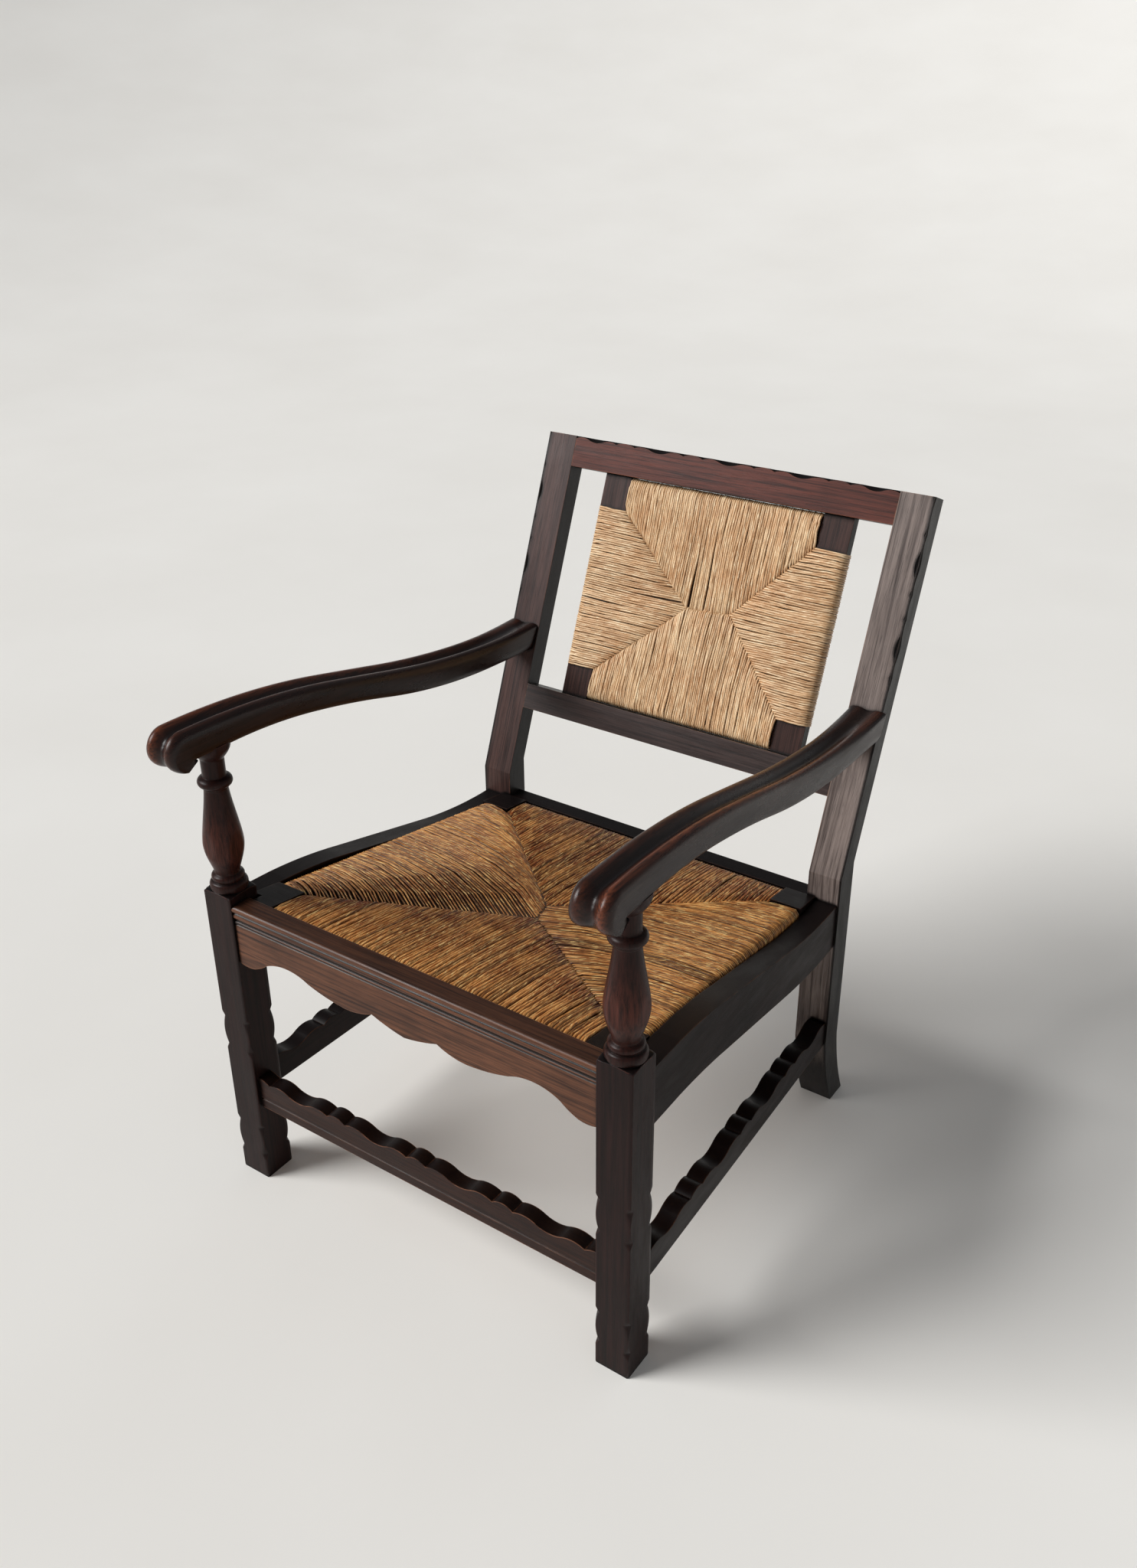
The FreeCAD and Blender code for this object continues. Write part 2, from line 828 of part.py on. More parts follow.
# Cross rails inside the rush, between the posts
rush_low = lower_rail_top + size("rush_rail_gap")
rush_high = top_rail_base - size("rush_rail_gap")
cross_height = size("back_low_block_height") - 2 * size("rush_layer")
bottom_cross = rush_low + size("rush_layer")
top_cross = rush_high - size("rush_layer")
for node, base in (
    ("back_rush_rail_bottom", bottom_cross),
    ("back_rush_rail_top", top_cross - cross_height),
):
    raked_board(
        node,
        (-post_inner, base),
        (post_inner, base + cross_height),
        "sizes.post_setback",
        POST_BACK,
    )


# The loose seat frame: front and rear members with thick corner blocks, and two side members
seat_thick = size("seat_thickness")
layer = size("rush_layer")
side_member = size("seat_side_member")
seat_inset = size("side_rail_thickness") + size("seat_gap")
front_block_end = seat_front + size("seat_front_member")
rear_block_start = seat_back - size("seat_rear_member")
notch_x = leg_inner - size("seat_leg_gap")
notch_y = leg_back + size("seat_leg_gap")


def seat_plan(start, end, inset):
    """Outline of the seat between two places, notched round the front legs"""
    corner = (side_line(end, inset), end)
    if start < notch_y:
        half = [(notch_x, start), (notch_x, notch_y), (side_line(notch_y, inset), notch_y), corner]
    else:
        half = [(side_line(start, inset), start), corner]
    return outline(*half, *reversed(mirrored(half, -1)))


def thinned(body, start, end, low_edge, high_edge, inner_edge):
    """Thins a member between its corner blocks to make room for the rush on every side"""
    half = side_line(inner_edge, seat_inset) - side_member
    cuts = (
        (start - overrun, end + overrun, -overrun, layer),
        (start - overrun, end + overrun, seat_thick - layer, seat_thick + overrun),
        (start - overrun, low_edge, -overrun, seat_thick + overrun),
        (high_edge, end + overrun, -overrun, seat_thick + overrun),
    )
    for from_y, to_y, top, bottom in cuts:
        sketch = new_sketch(body, "YZ_Plane", sloped_band(from_y, to_y, top, bottom))
        feature = body.newObject("PartDesign::Pocket", body.Label + "_pocket")
        feature.Profile = sketch
        feature.SideType = "Symmetric"
        feature.Length = 2 * half


body = sloped_board(
    "seat_frame_front",
    seat_plan(seat_front, front_block_end, seat_inset),
    seat_front,
    front_block_end,
    0,
    seat_thick,
)
thinned(body, seat_front, front_block_end, seat_front + layer, front_block_end - layer, front_block_end)
body = sloped_board(
    "seat_frame_rear",
    seat_plan(rear_block_start, seat_back, seat_inset),
    rear_block_start,
    seat_back,
    0,
    seat_thick,
)
thinned(body, rear_block_start, seat_back, rear_block_start + layer, seat_back - layer, rear_block_start)
for node, side in (("seat_frame_left", 1), ("seat_frame_right", -1)):
    sloped_board(
        node,
        side_strip(
            side, seat_inset + layer, seat_inset + side_member - layer, front_block_end, rear_block_start
        ),
        front_block_end,
        rear_block_start,
        layer,
        seat_thick - layer,
    )
document.recompute()


# Mortise and tenon joints, each given by where the tenon stands
thick = size("tenon_thickness")
length = size("tenon_length")
shoulder = size("tenon_shoulder")
root = size("tenon_shoulder")


def span_pair(low, high):
    """The height of a tenon in a piece, a shoulder in from each edge"""
    return low + shoulder, high - shoulder


def cross_joint(male, legs, inner, depth, y_low, y_high, z_low, z_high, frame=level_frame):
    """Tenons at both ends of a piece that runs across the chair"""
    for side, leg in zip((1, -1), legs):
        low = (side * (inner - root), y_low, z_low)
        high = (side * (inner + depth), y_high, z_high)
        tenon(male, leg, low, high, frame)


front_legs = ("front_leg_left", "front_leg_right")
rear_legs = ("rear_leg_left", "rear_leg_right")
front_depth = size("front_tenon_length")

# front rail and front stretcher into the front legs, near their front faces
rail_tenon_y = rail_face + shoulder
low_z, high_z = span_pair(apron_low + shoulder, rail_top - 2 * size("reed_height"))
cross_joint(
    "front_seat_rail", front_legs, leg_inner, front_depth, rail_tenon_y, rail_tenon_y + thick,
    low_z, high_z,
)
stretcher_middle = stretcher_setback + size("stretcher_thickness") / 2
low_z, high_z = span_pair(
    size("front_stretcher_bottom"), size("front_stretcher_bottom") + stretcher_rise
)
cross_joint(
    "front_stretcher", front_legs, leg_inner, front_depth - thick / 2,
    stretcher_middle - thick / 2, stretcher_middle + thick / 2, low_z, high_z,
)

# rear rail into the rear legs, and the two rails of the back into the stiles
rear_tenon = length - thick / 2
rear_middle = rear_front + size("rear_rail_depth") / 2
low_z, high_z = span_pair(rear_rail_bottom, rear_rail_top)
cross_joint(
    "rear_seat_rail", rear_legs, rear_inner, rear_tenon,
    rear_middle - thick / 2, rear_middle + thick / 2, low_z, high_z,
)
back_middle = size("back_rail_depth") / 2
for node, base, top in (
    ("top_rail", top_rail_base, stile_top - size("back_scallop_depth")),
    ("lower_back_rail", size("lower_rail_rise"), lower_rail_top),
):
    low_z, high_z = span_pair(base, top)
    cross_joint(
        node, rear_legs, rear_inner, length,
        back_middle - thick / 2, back_middle + thick / 2, low_z, high_z, raked_frame,
    )


def side_joint(male, female, side, x, y_leg, way, depth, z_low, z_high):
    """A tenon at one end of a piece that runs from front to back"""
    low = (side * (x - thick / 2), y_leg - way * root, z_low)
    high = (side * (x + thick / 2), y_leg + way * depth, z_high)
    tenon(male, female, low, high)


# side rails and side stretchers into the legs, short at the front where the front tenons are
side_depth = leg_back - (stretcher_middle + thick / 2) - 2 * size("fit_gap") - 1.5 * size("fit_gap")
front_low = side_front_bottom + shoulder
front_high = side_front_top - shoulder
rear_low = side_rear_bottom + shoulder
rear_high = side_rear_top - shoulder
stretcher_low, stretcher_high = span_pair(
    size("side_stretcher_bottom"),
    size("side_stretcher_bottom") + size("side_stretcher_height") - shoulder / 2,
)
rail_axis = size("side_rail_thickness") / 2
stretcher_axis = size("side_stretcher_thickness") / 2
for side, hand in ((1, "left"), (-1, "right")):
    for stem, axis, lows, highs in (
        ("side_seat_rail_", rail_axis, (front_low, rear_low), (front_high, rear_high)),
        ("side_stretcher_", stretcher_axis, (stretcher_low,) * 2, (stretcher_high,) * 2),
    ):
        node = stem + hand
        side_joint(
            node, "front_leg_" + hand, side, side_line(leg_back, axis), leg_back, -1,
            side_depth, lows[0], highs[0],
        )
        side_joint(
            node, "rear_leg_" + hand, side, side_line(rear_front, axis), rear_front, 1,
            length, lows[1], highs[1],
        )

# posts into the rails of the back, cross rails into the posts
post_thin = size("post_depth") / 3
post_middle = (post_front + post_back) / 2
for side, hand in ((1, "left"), (-1, "right")):
    post = "back_post_" + hand
    near, far = side * (post_inner + shoulder), side * (panel_half - shoulder)
    back_y = (post_middle - post_thin / 2, post_middle + post_thin / 2)
    for rail, edge, way in (("top_rail", top_rail_base, 1), ("lower_back_rail", lower_rail_top, -1)):
        low = (near, back_y[0], edge - way * root)
        high = (far, back_y[1], edge + way * length)
        tenon(post, rail, low, high, raked_frame)
    for rail, base in (
        ("back_rush_rail_bottom", bottom_cross),
        ("back_rush_rail_top", top_cross - cross_height),
    ):
        low = (side * (post_inner - root), back_y[0], base + shoulder)
        high = (side * (post_inner + length), back_y[1], base + cross_height - shoulder)
        tenon(rail, post, low, high, raked_frame)

# side members of the seat frame into its front and rear members
member_middle = seat_inset + side_member / 2
member_thin = (seat_thick - 2 * layer) / 2
for side, hand in ((1, "left"), (-1, "right")):
    for female, edge, way in (
        ("seat_frame_front", front_block_end, -1),
        ("seat_frame_rear", rear_block_start, 1),
    ):
        x = side_line(edge, member_middle)
        middle = seat_height(edge + way * length / 2, seat_thick / 2)
        low = (side * (x - thick), edge - way * root, middle - member_thin / 2)
        high = (side * (x + thick), edge + way * length, middle + member_thin / 2)
        tenon("seat_frame_" + hand, female, low, high)


# Arms: two rounded reeds side by side, carried along a swept side view to two rounded knuckles
arm_length = raked_front(arm_seat) - support_y
arm_crest = arm_seat + size("arm_thickness")
# The crest from the stile to the knuckle, along the arm and down from its highest point
arm_top_shares = ((1.08, 0.95), (0.779, 0.954), (0.481, 0.599), (0.308, 0.308))
arm_tail_angle = 5.4
# Round the knuckle, as shares of its reach, measured from the support, and of the arm's thickness
knuckle_shares = ((-0.662, 0.0), (-0.701, 1.301))
knuckle_root_share = -0.495
# The underside from the support to the stile, along the arm and down from the support's top
arm_under_shares = ((0.03, 0.0), (0.234, 0.133), (0.451, 0.499), (0.802, 0.914), (1.08, 0.999))


def tangent_arcs(start, heading, ends):
    """Arcs seen from the side that run through the ends, each tangent to the one before it"""
    arcs = []
    here = start
    for there in ends:
        chord = there - here
        half_turn = math.atan2(chord.z, chord.y) - heading
        half_turn = (half_turn + math.pi) % (2 * math.pi) - math.pi
        bulge = Vector(0, chord.z, -chord.y) * (math.tan(half_turn / 2) / 2)
        arcs.append(Part.Arc(here, (here + there) * 0.5 + bulge, there).toShape())
        heading += 2 * half_turn
        here = there
    return arcs


def arm_points(shares, length, start_height, depth):
    return [
        Vector(0, support_y + along * length, start_height - down * depth) for along, down in shares
    ]


def arm_reed(inner, outer):
    """One reed of an arm: its outer edge is rounded, its inner edge falls to the quirk"""
    reach = size("knuckle_reach")
    top = arm_points(arm_top_shares, arm_length, arm_crest, size("arm_fall"))
    knuckle = arm_points(knuckle_shares, reach, arm_crest, size("arm_thickness"))
    crest = tangent_arcs(top[0], math.radians(180 + arm_tail_angle), top[1:] + knuckle)
    under = arm_points(arm_under_shares, arm_length, arm_seat, size("arm_fall"))
    root = Vector(0, support_y + knuckle_root_share * reach, arm_seat)
    closing = [
        Part.LineSegment(knuckle[-1], root).toShape(),
        Part.LineSegment(root, under[0]).toShape(),
        *tangent_arcs(under[0], 0, under[1:]),
        Part.LineSegment(under[-1], top[0]).toShape(),
    ]
    face = Part.Face(Part.Wire(crest + closing))
    face.translate(Vector(inner, 0, 0))
    reed = face.extrude(Vector(outer - inner, 0, 0))

    def crest_edges(x):
        middles = [arc.CenterOfMass + Vector(x, 0, 0) for arc in crest]
        return [
            edge
            for edge in reed.Edges
            if any((edge.CenterOfMass - middle).Length < size("fit_gap") for middle in middles)
        ]

    reed = reed.makeFillet(size("reed_round"), crest_edges(outer))
    return reed.makeChamfer(size("quirk_depth"), crest_edges(inner))


def arm(node, side):
    half = size("arm_width") / 2
    arm_end = rear_half - size("rear_leg_width") / 2 + size("arm_offset")
    shape = arm_reed(0, -half).fuse(arm_reed(0, half)).removeSplitter()
    swing = math.degrees(math.atan2(support_x - arm_end, arm_length))
    shape.rotate(Vector(0, support_y, 0), Vector(0, 0, 1), side * swing)
    shape.translate(Vector(side * support_x, 0, 0))
    span = 2 * (front_half + rear_half)
    behind = Part.makeBox(span, span, 2 * stile_top)
    behind.Placement = raked_frame * Placement(Vector(-span / 2, 0, -stile_top / 2), Rotation())
    shape = shape.cut(behind)
    gap = size("fit_gap")
    hole = Part.makeCylinder(
        size("arm_pin_radius") + gap,
        size("arm_pin_length") + gap + overrun,
        Vector(side * support_x, support_y, arm_seat - overrun),
    )
    shape = shape.cut(hole)
    tenon_x = side * arm_end
    top_end = arm_crest - size("arm_fall") - shoulder
    bottom_end = top_end - size("arm_tenon_height")
    low = (tenon_x - thick / 2, raked_front(bottom_end) - root, bottom_end)
    high = (tenon_x + thick / 2, raked_front(top_end) + size("arm_tenon_length"), top_end)
    peg = Part.makeBox(*[b - a for a, b in zip(low, high)], Vector(*low))
    leg = pieces["rear_leg_left" if side > 0 else "rear_leg_right"]
    box_feature(
        leg, "Subtractive", [a - gap for a in low], [b + gap for b in high], level_frame
    )
    feature = document.addObject("Part::Feature", node)
    feature.Label = node
    feature.Shape = shape.fuse(peg).removeSplitter()
    pieces[node] = feature
    frames[node] = level_frame


arm("arm_left", 1)
arm("arm_right", -1)
document.recompute()


# Rush: closed solids of the woven seat and back, cut to fit over the frames inside them
def dished(corners, centre, depth, up):
    """A shallow hollow whose four slopes meet below the centre, for cutting from a rush top"""
    rim = [corner + up * overrun for corner in corners]
    low = centre - up * depth
    faces = [Part.Face(Part.makePolygon(rim + rim[:1]))]
    for i in range(4):
        a, b = rim[i], rim[(i + 1) % 4]
        faces.append(Part.Face(Part.makePolygon([a, b, corners[(i + 1) % 4], corners[i], a])))
        faces.append(
            Part.Face(Part.makePolygon([corners[i], corners[(i + 1) % 4], low, corners[i]]))
        )
    solid = Part.Solid(Part.Shell(faces))
    if solid.Volume < 0:
        solid.reverse()
    return solid


def add_rush(node, shape, frame):
    feature = document.addObject("Part::Feature", node)
    feature.Label = node
    feature.Shape = shape
    pieces[node] = feature
    frames[node] = frame


def chair_shape(node):
    """The shape of a finished body in the chair's frame"""
    return pieces[node].Shape


def seat_rush():
    plan = Part.Face(Part.Wire([edge.toShape() for edge in seat_plan(seat_front, seat_back, seat_inset)]))
    lift = size("seat_rest_gap") + size("fit_gap")
    height = seat_front_top
    plate = plan.extrude(Vector(0, 0, 2 * height))
    view = Part.Face(
        Part.Wire([
            edge.toShape()
            for edge in sloped_band(seat_front - overrun, seat_back + overrun, 0, seat_thick - lift)
        ])
    )
    view.Placement = Placement(Vector(), Rotation(Vector(1, 1, 1), 120))
    view.translate(Vector(-front_half, 0, 0))
    plate = plate.common(view.extrude(Vector(2 * front_half, 0, 0)))
    edges = [
        edge
        for edge in plate.Edges
        if abs(edge.CenterOfMass.z - seat_height(edge.CenterOfMass.y)) < layer / 10
        and edge.Length > front_half / 2
    ]
    plate = plate.makeFillet(size("rush_edge_radius"), edges)
    inner_front, inner_rear = seat_front + layer, seat_back - layer
    corners = [
        Vector(side * side_line(y, seat_inset + layer), y, seat_height(y))
        for y, side in ((inner_front, -1), (inner_front, 1), (inner_rear, 1), (inner_rear, -1))
    ]
    middle = (seat_front + seat_back) / 2
    centre = Vector(0, middle, seat_height(middle))
    plate = plate.cut(dished(corners, centre, size("rush_dish"), Vector(0, 0, 1)))
    for low_y, high_y, inner_edge in (
        (seat_front, front_block_end, front_block_end),
        (rear_block_start, seat_back, rear_block_start),
    ):
        half_inner = side_line(inner_edge, seat_inset) - side_member
        for side in (-1, 1):
            block = Part.makeBox(
                front_half, high_y - low_y, 2 * height,
                Vector(half_inner if side > 0 else -half_inner - front_half, low_y, 0),
            )
            plate = plate.cut(block)
    for node in ("seat_frame_front", "seat_frame_rear", "seat_frame_left", "seat_frame_right"):
        plate = plate.cut(chair_shape(node))
    add_rush("seat_rush", plate, level_frame)


def back_rush():
    front = post_front - layer
    back = post_back + layer
    half = panel_half + layer / 2
    slab = Part.makeBox(2 * half, back - front, rush_high - rush_low, Vector(-half, front, rush_low))
    uprights = [
        edge
        for edge in slab.Edges
        if edge.BoundBox.XLength < overrun / 100 and edge.BoundBox.YLength < overrun / 100
    ]
    slab = slab.makeFillet(size("rush_edge_radius"), uprights)
    corners = [
        Vector(x, front, z)
        for x, z in (
            (-panel_half, rush_low), (panel_half, rush_low),
            (panel_half, rush_high), (-panel_half, rush_high),
        )
    ]
    centre = Vector(0, front, (rush_low + rush_high) / 2)
    slab = slab.cut(dished(corners, centre, size("rush_dish"), Vector(0, -1, 0)))
    low_block = rush_low + size("back_low_block_height")
    high_block = rush_high - size("back_block_height")
    for side in (-1, 1):
        left = post_inner if side > 0 else -post_inner - panel_half
        for low, high in ((rush_low - overrun, low_block), (high_block, rush_high + overrun)):
            slab = slab.cut(
                Part.makeBox(panel_half, 2 * back, high - low, Vector(left, -back / 2, low))
            )
    for node in ("back_post_left", "back_post_right", "back_rush_rail_top", "back_rush_rail_bottom"):
        slab = slab.cut(chair_shape(node))
    add_rush("back_rush", slab, raked_frame)


seat_rush()
back_rush()

# The origin lies on the floor, under the middle of the chair's box
front_most = min(frames_box.YMin for frames_box in (
    pieces["arm_left"].Shape.BoundBox, pieces["front_leg_left"].Shape.BoundBox
))
stile_back = (
    rear_front + stile_top * math.sin(rake) + size("stile_depth") * math.cos(rake)
)
centring = Placement(Vector(0, -(front_most + stile_back) / 2, 0), Rotation())
for node, feature in pieces.items():
    feature.Placement = centring * frames[node]
document.recompute()

for item in document.Objects:
    if "Invalid" in item.State or "Error" in item.State:
        raise RuntimeError("%s is %s" % (item.Label, item.State))
for node, feature in pieces.items():
    shape = feature.Shape
    if shape.isNull() or not shape.isValid() or len(shape.Solids) != 1:
        raise RuntimeError("%s has no single valid solid" % node)

os.makedirs("parts", exist_ok=True)
for node, feature in pieces.items():
    feature.Shape.exportStep(os.path.join("parts", node + ".step"))
print("%d pieces" % len(pieces))
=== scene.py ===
"""A rush seat armchair in dark oak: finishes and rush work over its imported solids.

Lengths are written in millimetres in the maker's frame, where y = 0 at the front faces of the
front legs, and turned into metres in the part's own frame when a mesh is made.
"""

import math

import bpy
import numpy as np
from mathutils import Matrix, Vector


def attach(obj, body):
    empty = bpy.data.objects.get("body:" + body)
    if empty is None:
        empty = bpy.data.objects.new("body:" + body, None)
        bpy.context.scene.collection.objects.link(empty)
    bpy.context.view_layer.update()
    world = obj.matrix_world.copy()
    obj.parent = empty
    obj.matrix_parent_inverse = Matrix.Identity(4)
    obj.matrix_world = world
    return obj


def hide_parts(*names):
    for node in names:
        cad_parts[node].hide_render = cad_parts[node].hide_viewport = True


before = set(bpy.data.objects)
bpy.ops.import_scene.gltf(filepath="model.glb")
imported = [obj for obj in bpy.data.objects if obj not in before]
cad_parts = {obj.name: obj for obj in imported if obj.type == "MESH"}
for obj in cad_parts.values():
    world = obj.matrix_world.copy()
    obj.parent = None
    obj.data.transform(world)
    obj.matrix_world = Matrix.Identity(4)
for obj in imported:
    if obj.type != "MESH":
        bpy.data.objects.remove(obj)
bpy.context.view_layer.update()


# Floor, light and camera. A pale studio floor sweeps up all round, and a broad soft light comes
# low from in front of the chair and its right hand side, with a dim even sky round about.
def linear(code):
    """An sRGB hex colour as linear red, green, blue and alpha"""
    parts = [int(code[i:i + 2], 16) / 255 for i in (1, 3, 5)]
    return tuple(p / 12.92 if p <= 0.04045 else ((p + 0.055) / 1.055) ** 2.4 for p in parts) + (1.0,)


def add_node(tree, kind, settings=None, **inputs):
    """Adds a node with its settings; each input is a value or the output that feeds it.

    An input is named by its label with _ for a space, or as i and its number.
    """
    node = tree.nodes.new(kind)
    for key, value in (settings or {}).items():
        setattr(node, key, value)
    for key, value in inputs.items():
        numbered = key[0] == "i" and key[1:].isdigit()
        socket = node.inputs[int(key[1:])] if numbered else node.inputs[key.replace("_", " ")]
        if isinstance(value, bpy.types.NodeSocket):
            tree.links.new(value, socket)
        else:
            socket.default_value = value
    return node


def new_material(name):
    material = bpy.data.materials.new(name)
    material.use_nodes = True
    material.node_tree.nodes.clear()
    return material, material.node_tree


def tube_faces(rows, columns):
    """Quads between rows of a closed ring, wound so that they face out of a ring turned left"""
    row, column = np.meshgrid(np.arange(rows - 1), np.arange(columns), indexing="ij")
    here, after = row * columns + column, row * columns + (column + 1) % columns
    return np.stack([here, after, after + columns, here + columns], -1).reshape(-1, 4)


# The floor is flat out to 4 m, then rises as the square of the way beyond, 0.7 m in the next 4 m
flat_reach, spokes = 4.0, 96
reach = np.concatenate([[0.01, 1.0, 2.0, 3.0], np.linspace(flat_reach, 3 * flat_reach, 25)])
turn = np.linspace(0, 2 * np.pi, spokes, endpoint=False)
rise = 0.7 * np.clip((reach - flat_reach) / flat_reach, 0, None) ** 2
sweep_points = np.stack([
    reach[:, None] * np.cos(turn), reach[:, None] * np.sin(turn), rise[:, None] + 0 * turn,
], -1).reshape(-1, 3)
sweep_faces = [list(range(spokes))] + tube_faces(len(reach), spokes)[:, ::-1].tolist()
floor_mesh = bpy.data.meshes.new("studio_floor")
floor_mesh.from_pydata(sweep_points.tolist(), [], sweep_faces)
floor_mesh.polygons.foreach_set("use_smooth", np.ones(len(floor_mesh.polygons), bool))
floor = bpy.data.objects.new("studio_floor", floor_mesh)
bpy.context.scene.collection.objects.link(floor)
material, tree = new_material("painted_studio_floor")
place = add_node(tree, "ShaderNodeTexCoord").outputs["Object"]
cloud = add_node(tree, "ShaderNodeTexNoise", Vector=place, Scale=1.7, Detail=4.0).outputs["Fac"]
tone = add_node(
    tree, "ShaderNodeMix", {"data_type": "RGBA"}, i0=cloud, i6=linear("#EEEBE5"), i7=linear("#F8F6F1")
).outputs[2]
shade = add_node(tree, "ShaderNodeBsdfPrincipled", Base_Color=tone, Roughness=0.9)
add_node(tree, "ShaderNodeOutputMaterial", Surface=shade.outputs[0])
floor_mesh.materials.append(material)

world = bpy.data.worlds.new("studio")
world.use_nodes = True
world.node_tree.nodes.clear()
tree = world.node_tree
ray = add_node(tree, "ShaderNodeLightPath").outputs["Is Camera Ray"]
around = add_node(tree, "ShaderNodeBackground", Color=linear("#E4E6EA"), Strength=0.27)
behind = add_node(tree, "ShaderNodeBackground", Color=linear("#DCD9D3"), Strength=1.0)
sky = add_node(tree, "ShaderNodeMixShader", i0=ray, i1=around.outputs[0], i2=behind.outputs[0])
add_node(tree, "ShaderNodeOutputWorld", Surface=sky.outputs[0])
bpy.context.scene.world = world

key = bpy.data.lights.new("soft_key", "SUN")
key.energy = 3.5
key.angle = math.radians(32)
to_light = Vector((-0.70, -0.64, 0.62))
key_object = bpy.data.objects.new("soft_key", key)
key_object.rotation_euler = to_light.to_track_quat("Z", "Y").to_euler()
bpy.context.scene.collection.objects.link(key_object)

# The camera stands where the photograph was taken from, with its view and its right hand way
lens = bpy.data.cameras.new("camera")
lens.lens = 32.73
lens.sensor_width = 36
camera = bpy.data.objects.new("camera", lens)
eye = Vector((0.89517, -1.28976, 1.36968))
forward = Vector((-0.50468, 0.72226, -0.47289)).normalized()
right = Vector((0.82199, 0.56945, -0.00751))
right = (right - forward * right.dot(forward)).normalized()
up = right.cross(forward)
camera.matrix_world = Matrix.Translation(eye) @ Matrix((right, up, -forward)).transposed().to_4x4()
bpy.context.scene.collection.objects.link(camera)
bpy.context.scene.camera = camera
bpy.context.scene.view_settings.view_transform = "Standard"


# Front legs. Each is one piece of oak, a square block with carved arrises below and a turned
# vase between rings above. Rails are tenoned into the block, and a pin on top goes into the arm.
UPRIGHT = (0.0, 0.0, 0.0)
ACROSS = (0.0, math.radians(90), 0.0)
FRONT_TO_BACK = (math.radians(90), 0.0, 0.0)
EASED = {"interpolation_type": "SMOOTHSTEP"}
TIMES = {"operation": "MULTIPLY"}
LESS = {"operation": "SUBTRACT"}
DOT = {"operation": "DOT_PRODUCT"}


def pattern(tree, place, turn, size, detail, rough=0.55, twist=0.0):
    """Noise whose blobs are size millimetres along the turned axes"""
    spot = add_node(
        tree, "ShaderNodeMapping", {"vector_type": "TEXTURE"},
        Vector=place, Rotation=turn, Scale=[s / 1000 for s in size],
    )
    return add_node(
        tree, "ShaderNodeTexNoise",
        Vector=spot.outputs[0], Scale=1.0, Detail=detail, Roughness=rough, Distortion=twist,
    ).outputs["Fac"]


def coat(tree, base, colour, value, bare, full, strength=1.0, within=None, kind="MIX"):
    """Lays a colour over the base: none where value is bare, all of its strength where it is full.

    The amount is eased between the two, and within, where given, is a share that thins it.
    """
    amount = add_node(
        tree, "ShaderNodeMapRange", EASED, Value=value, From_Min=bare, From_Max=full, To_Max=strength
    ).outputs[0]
    if within is not None:
        amount = add_node(tree, "ShaderNodeMath", TIMES, i0=within, i1=amount).outputs[0]
    return add_node(
        tree, "ShaderNodeMix", {"data_type": "RGBA", "blend_type": kind},
        i0=amount, i6=base, i7=linear(colour),
    ).outputs[2]


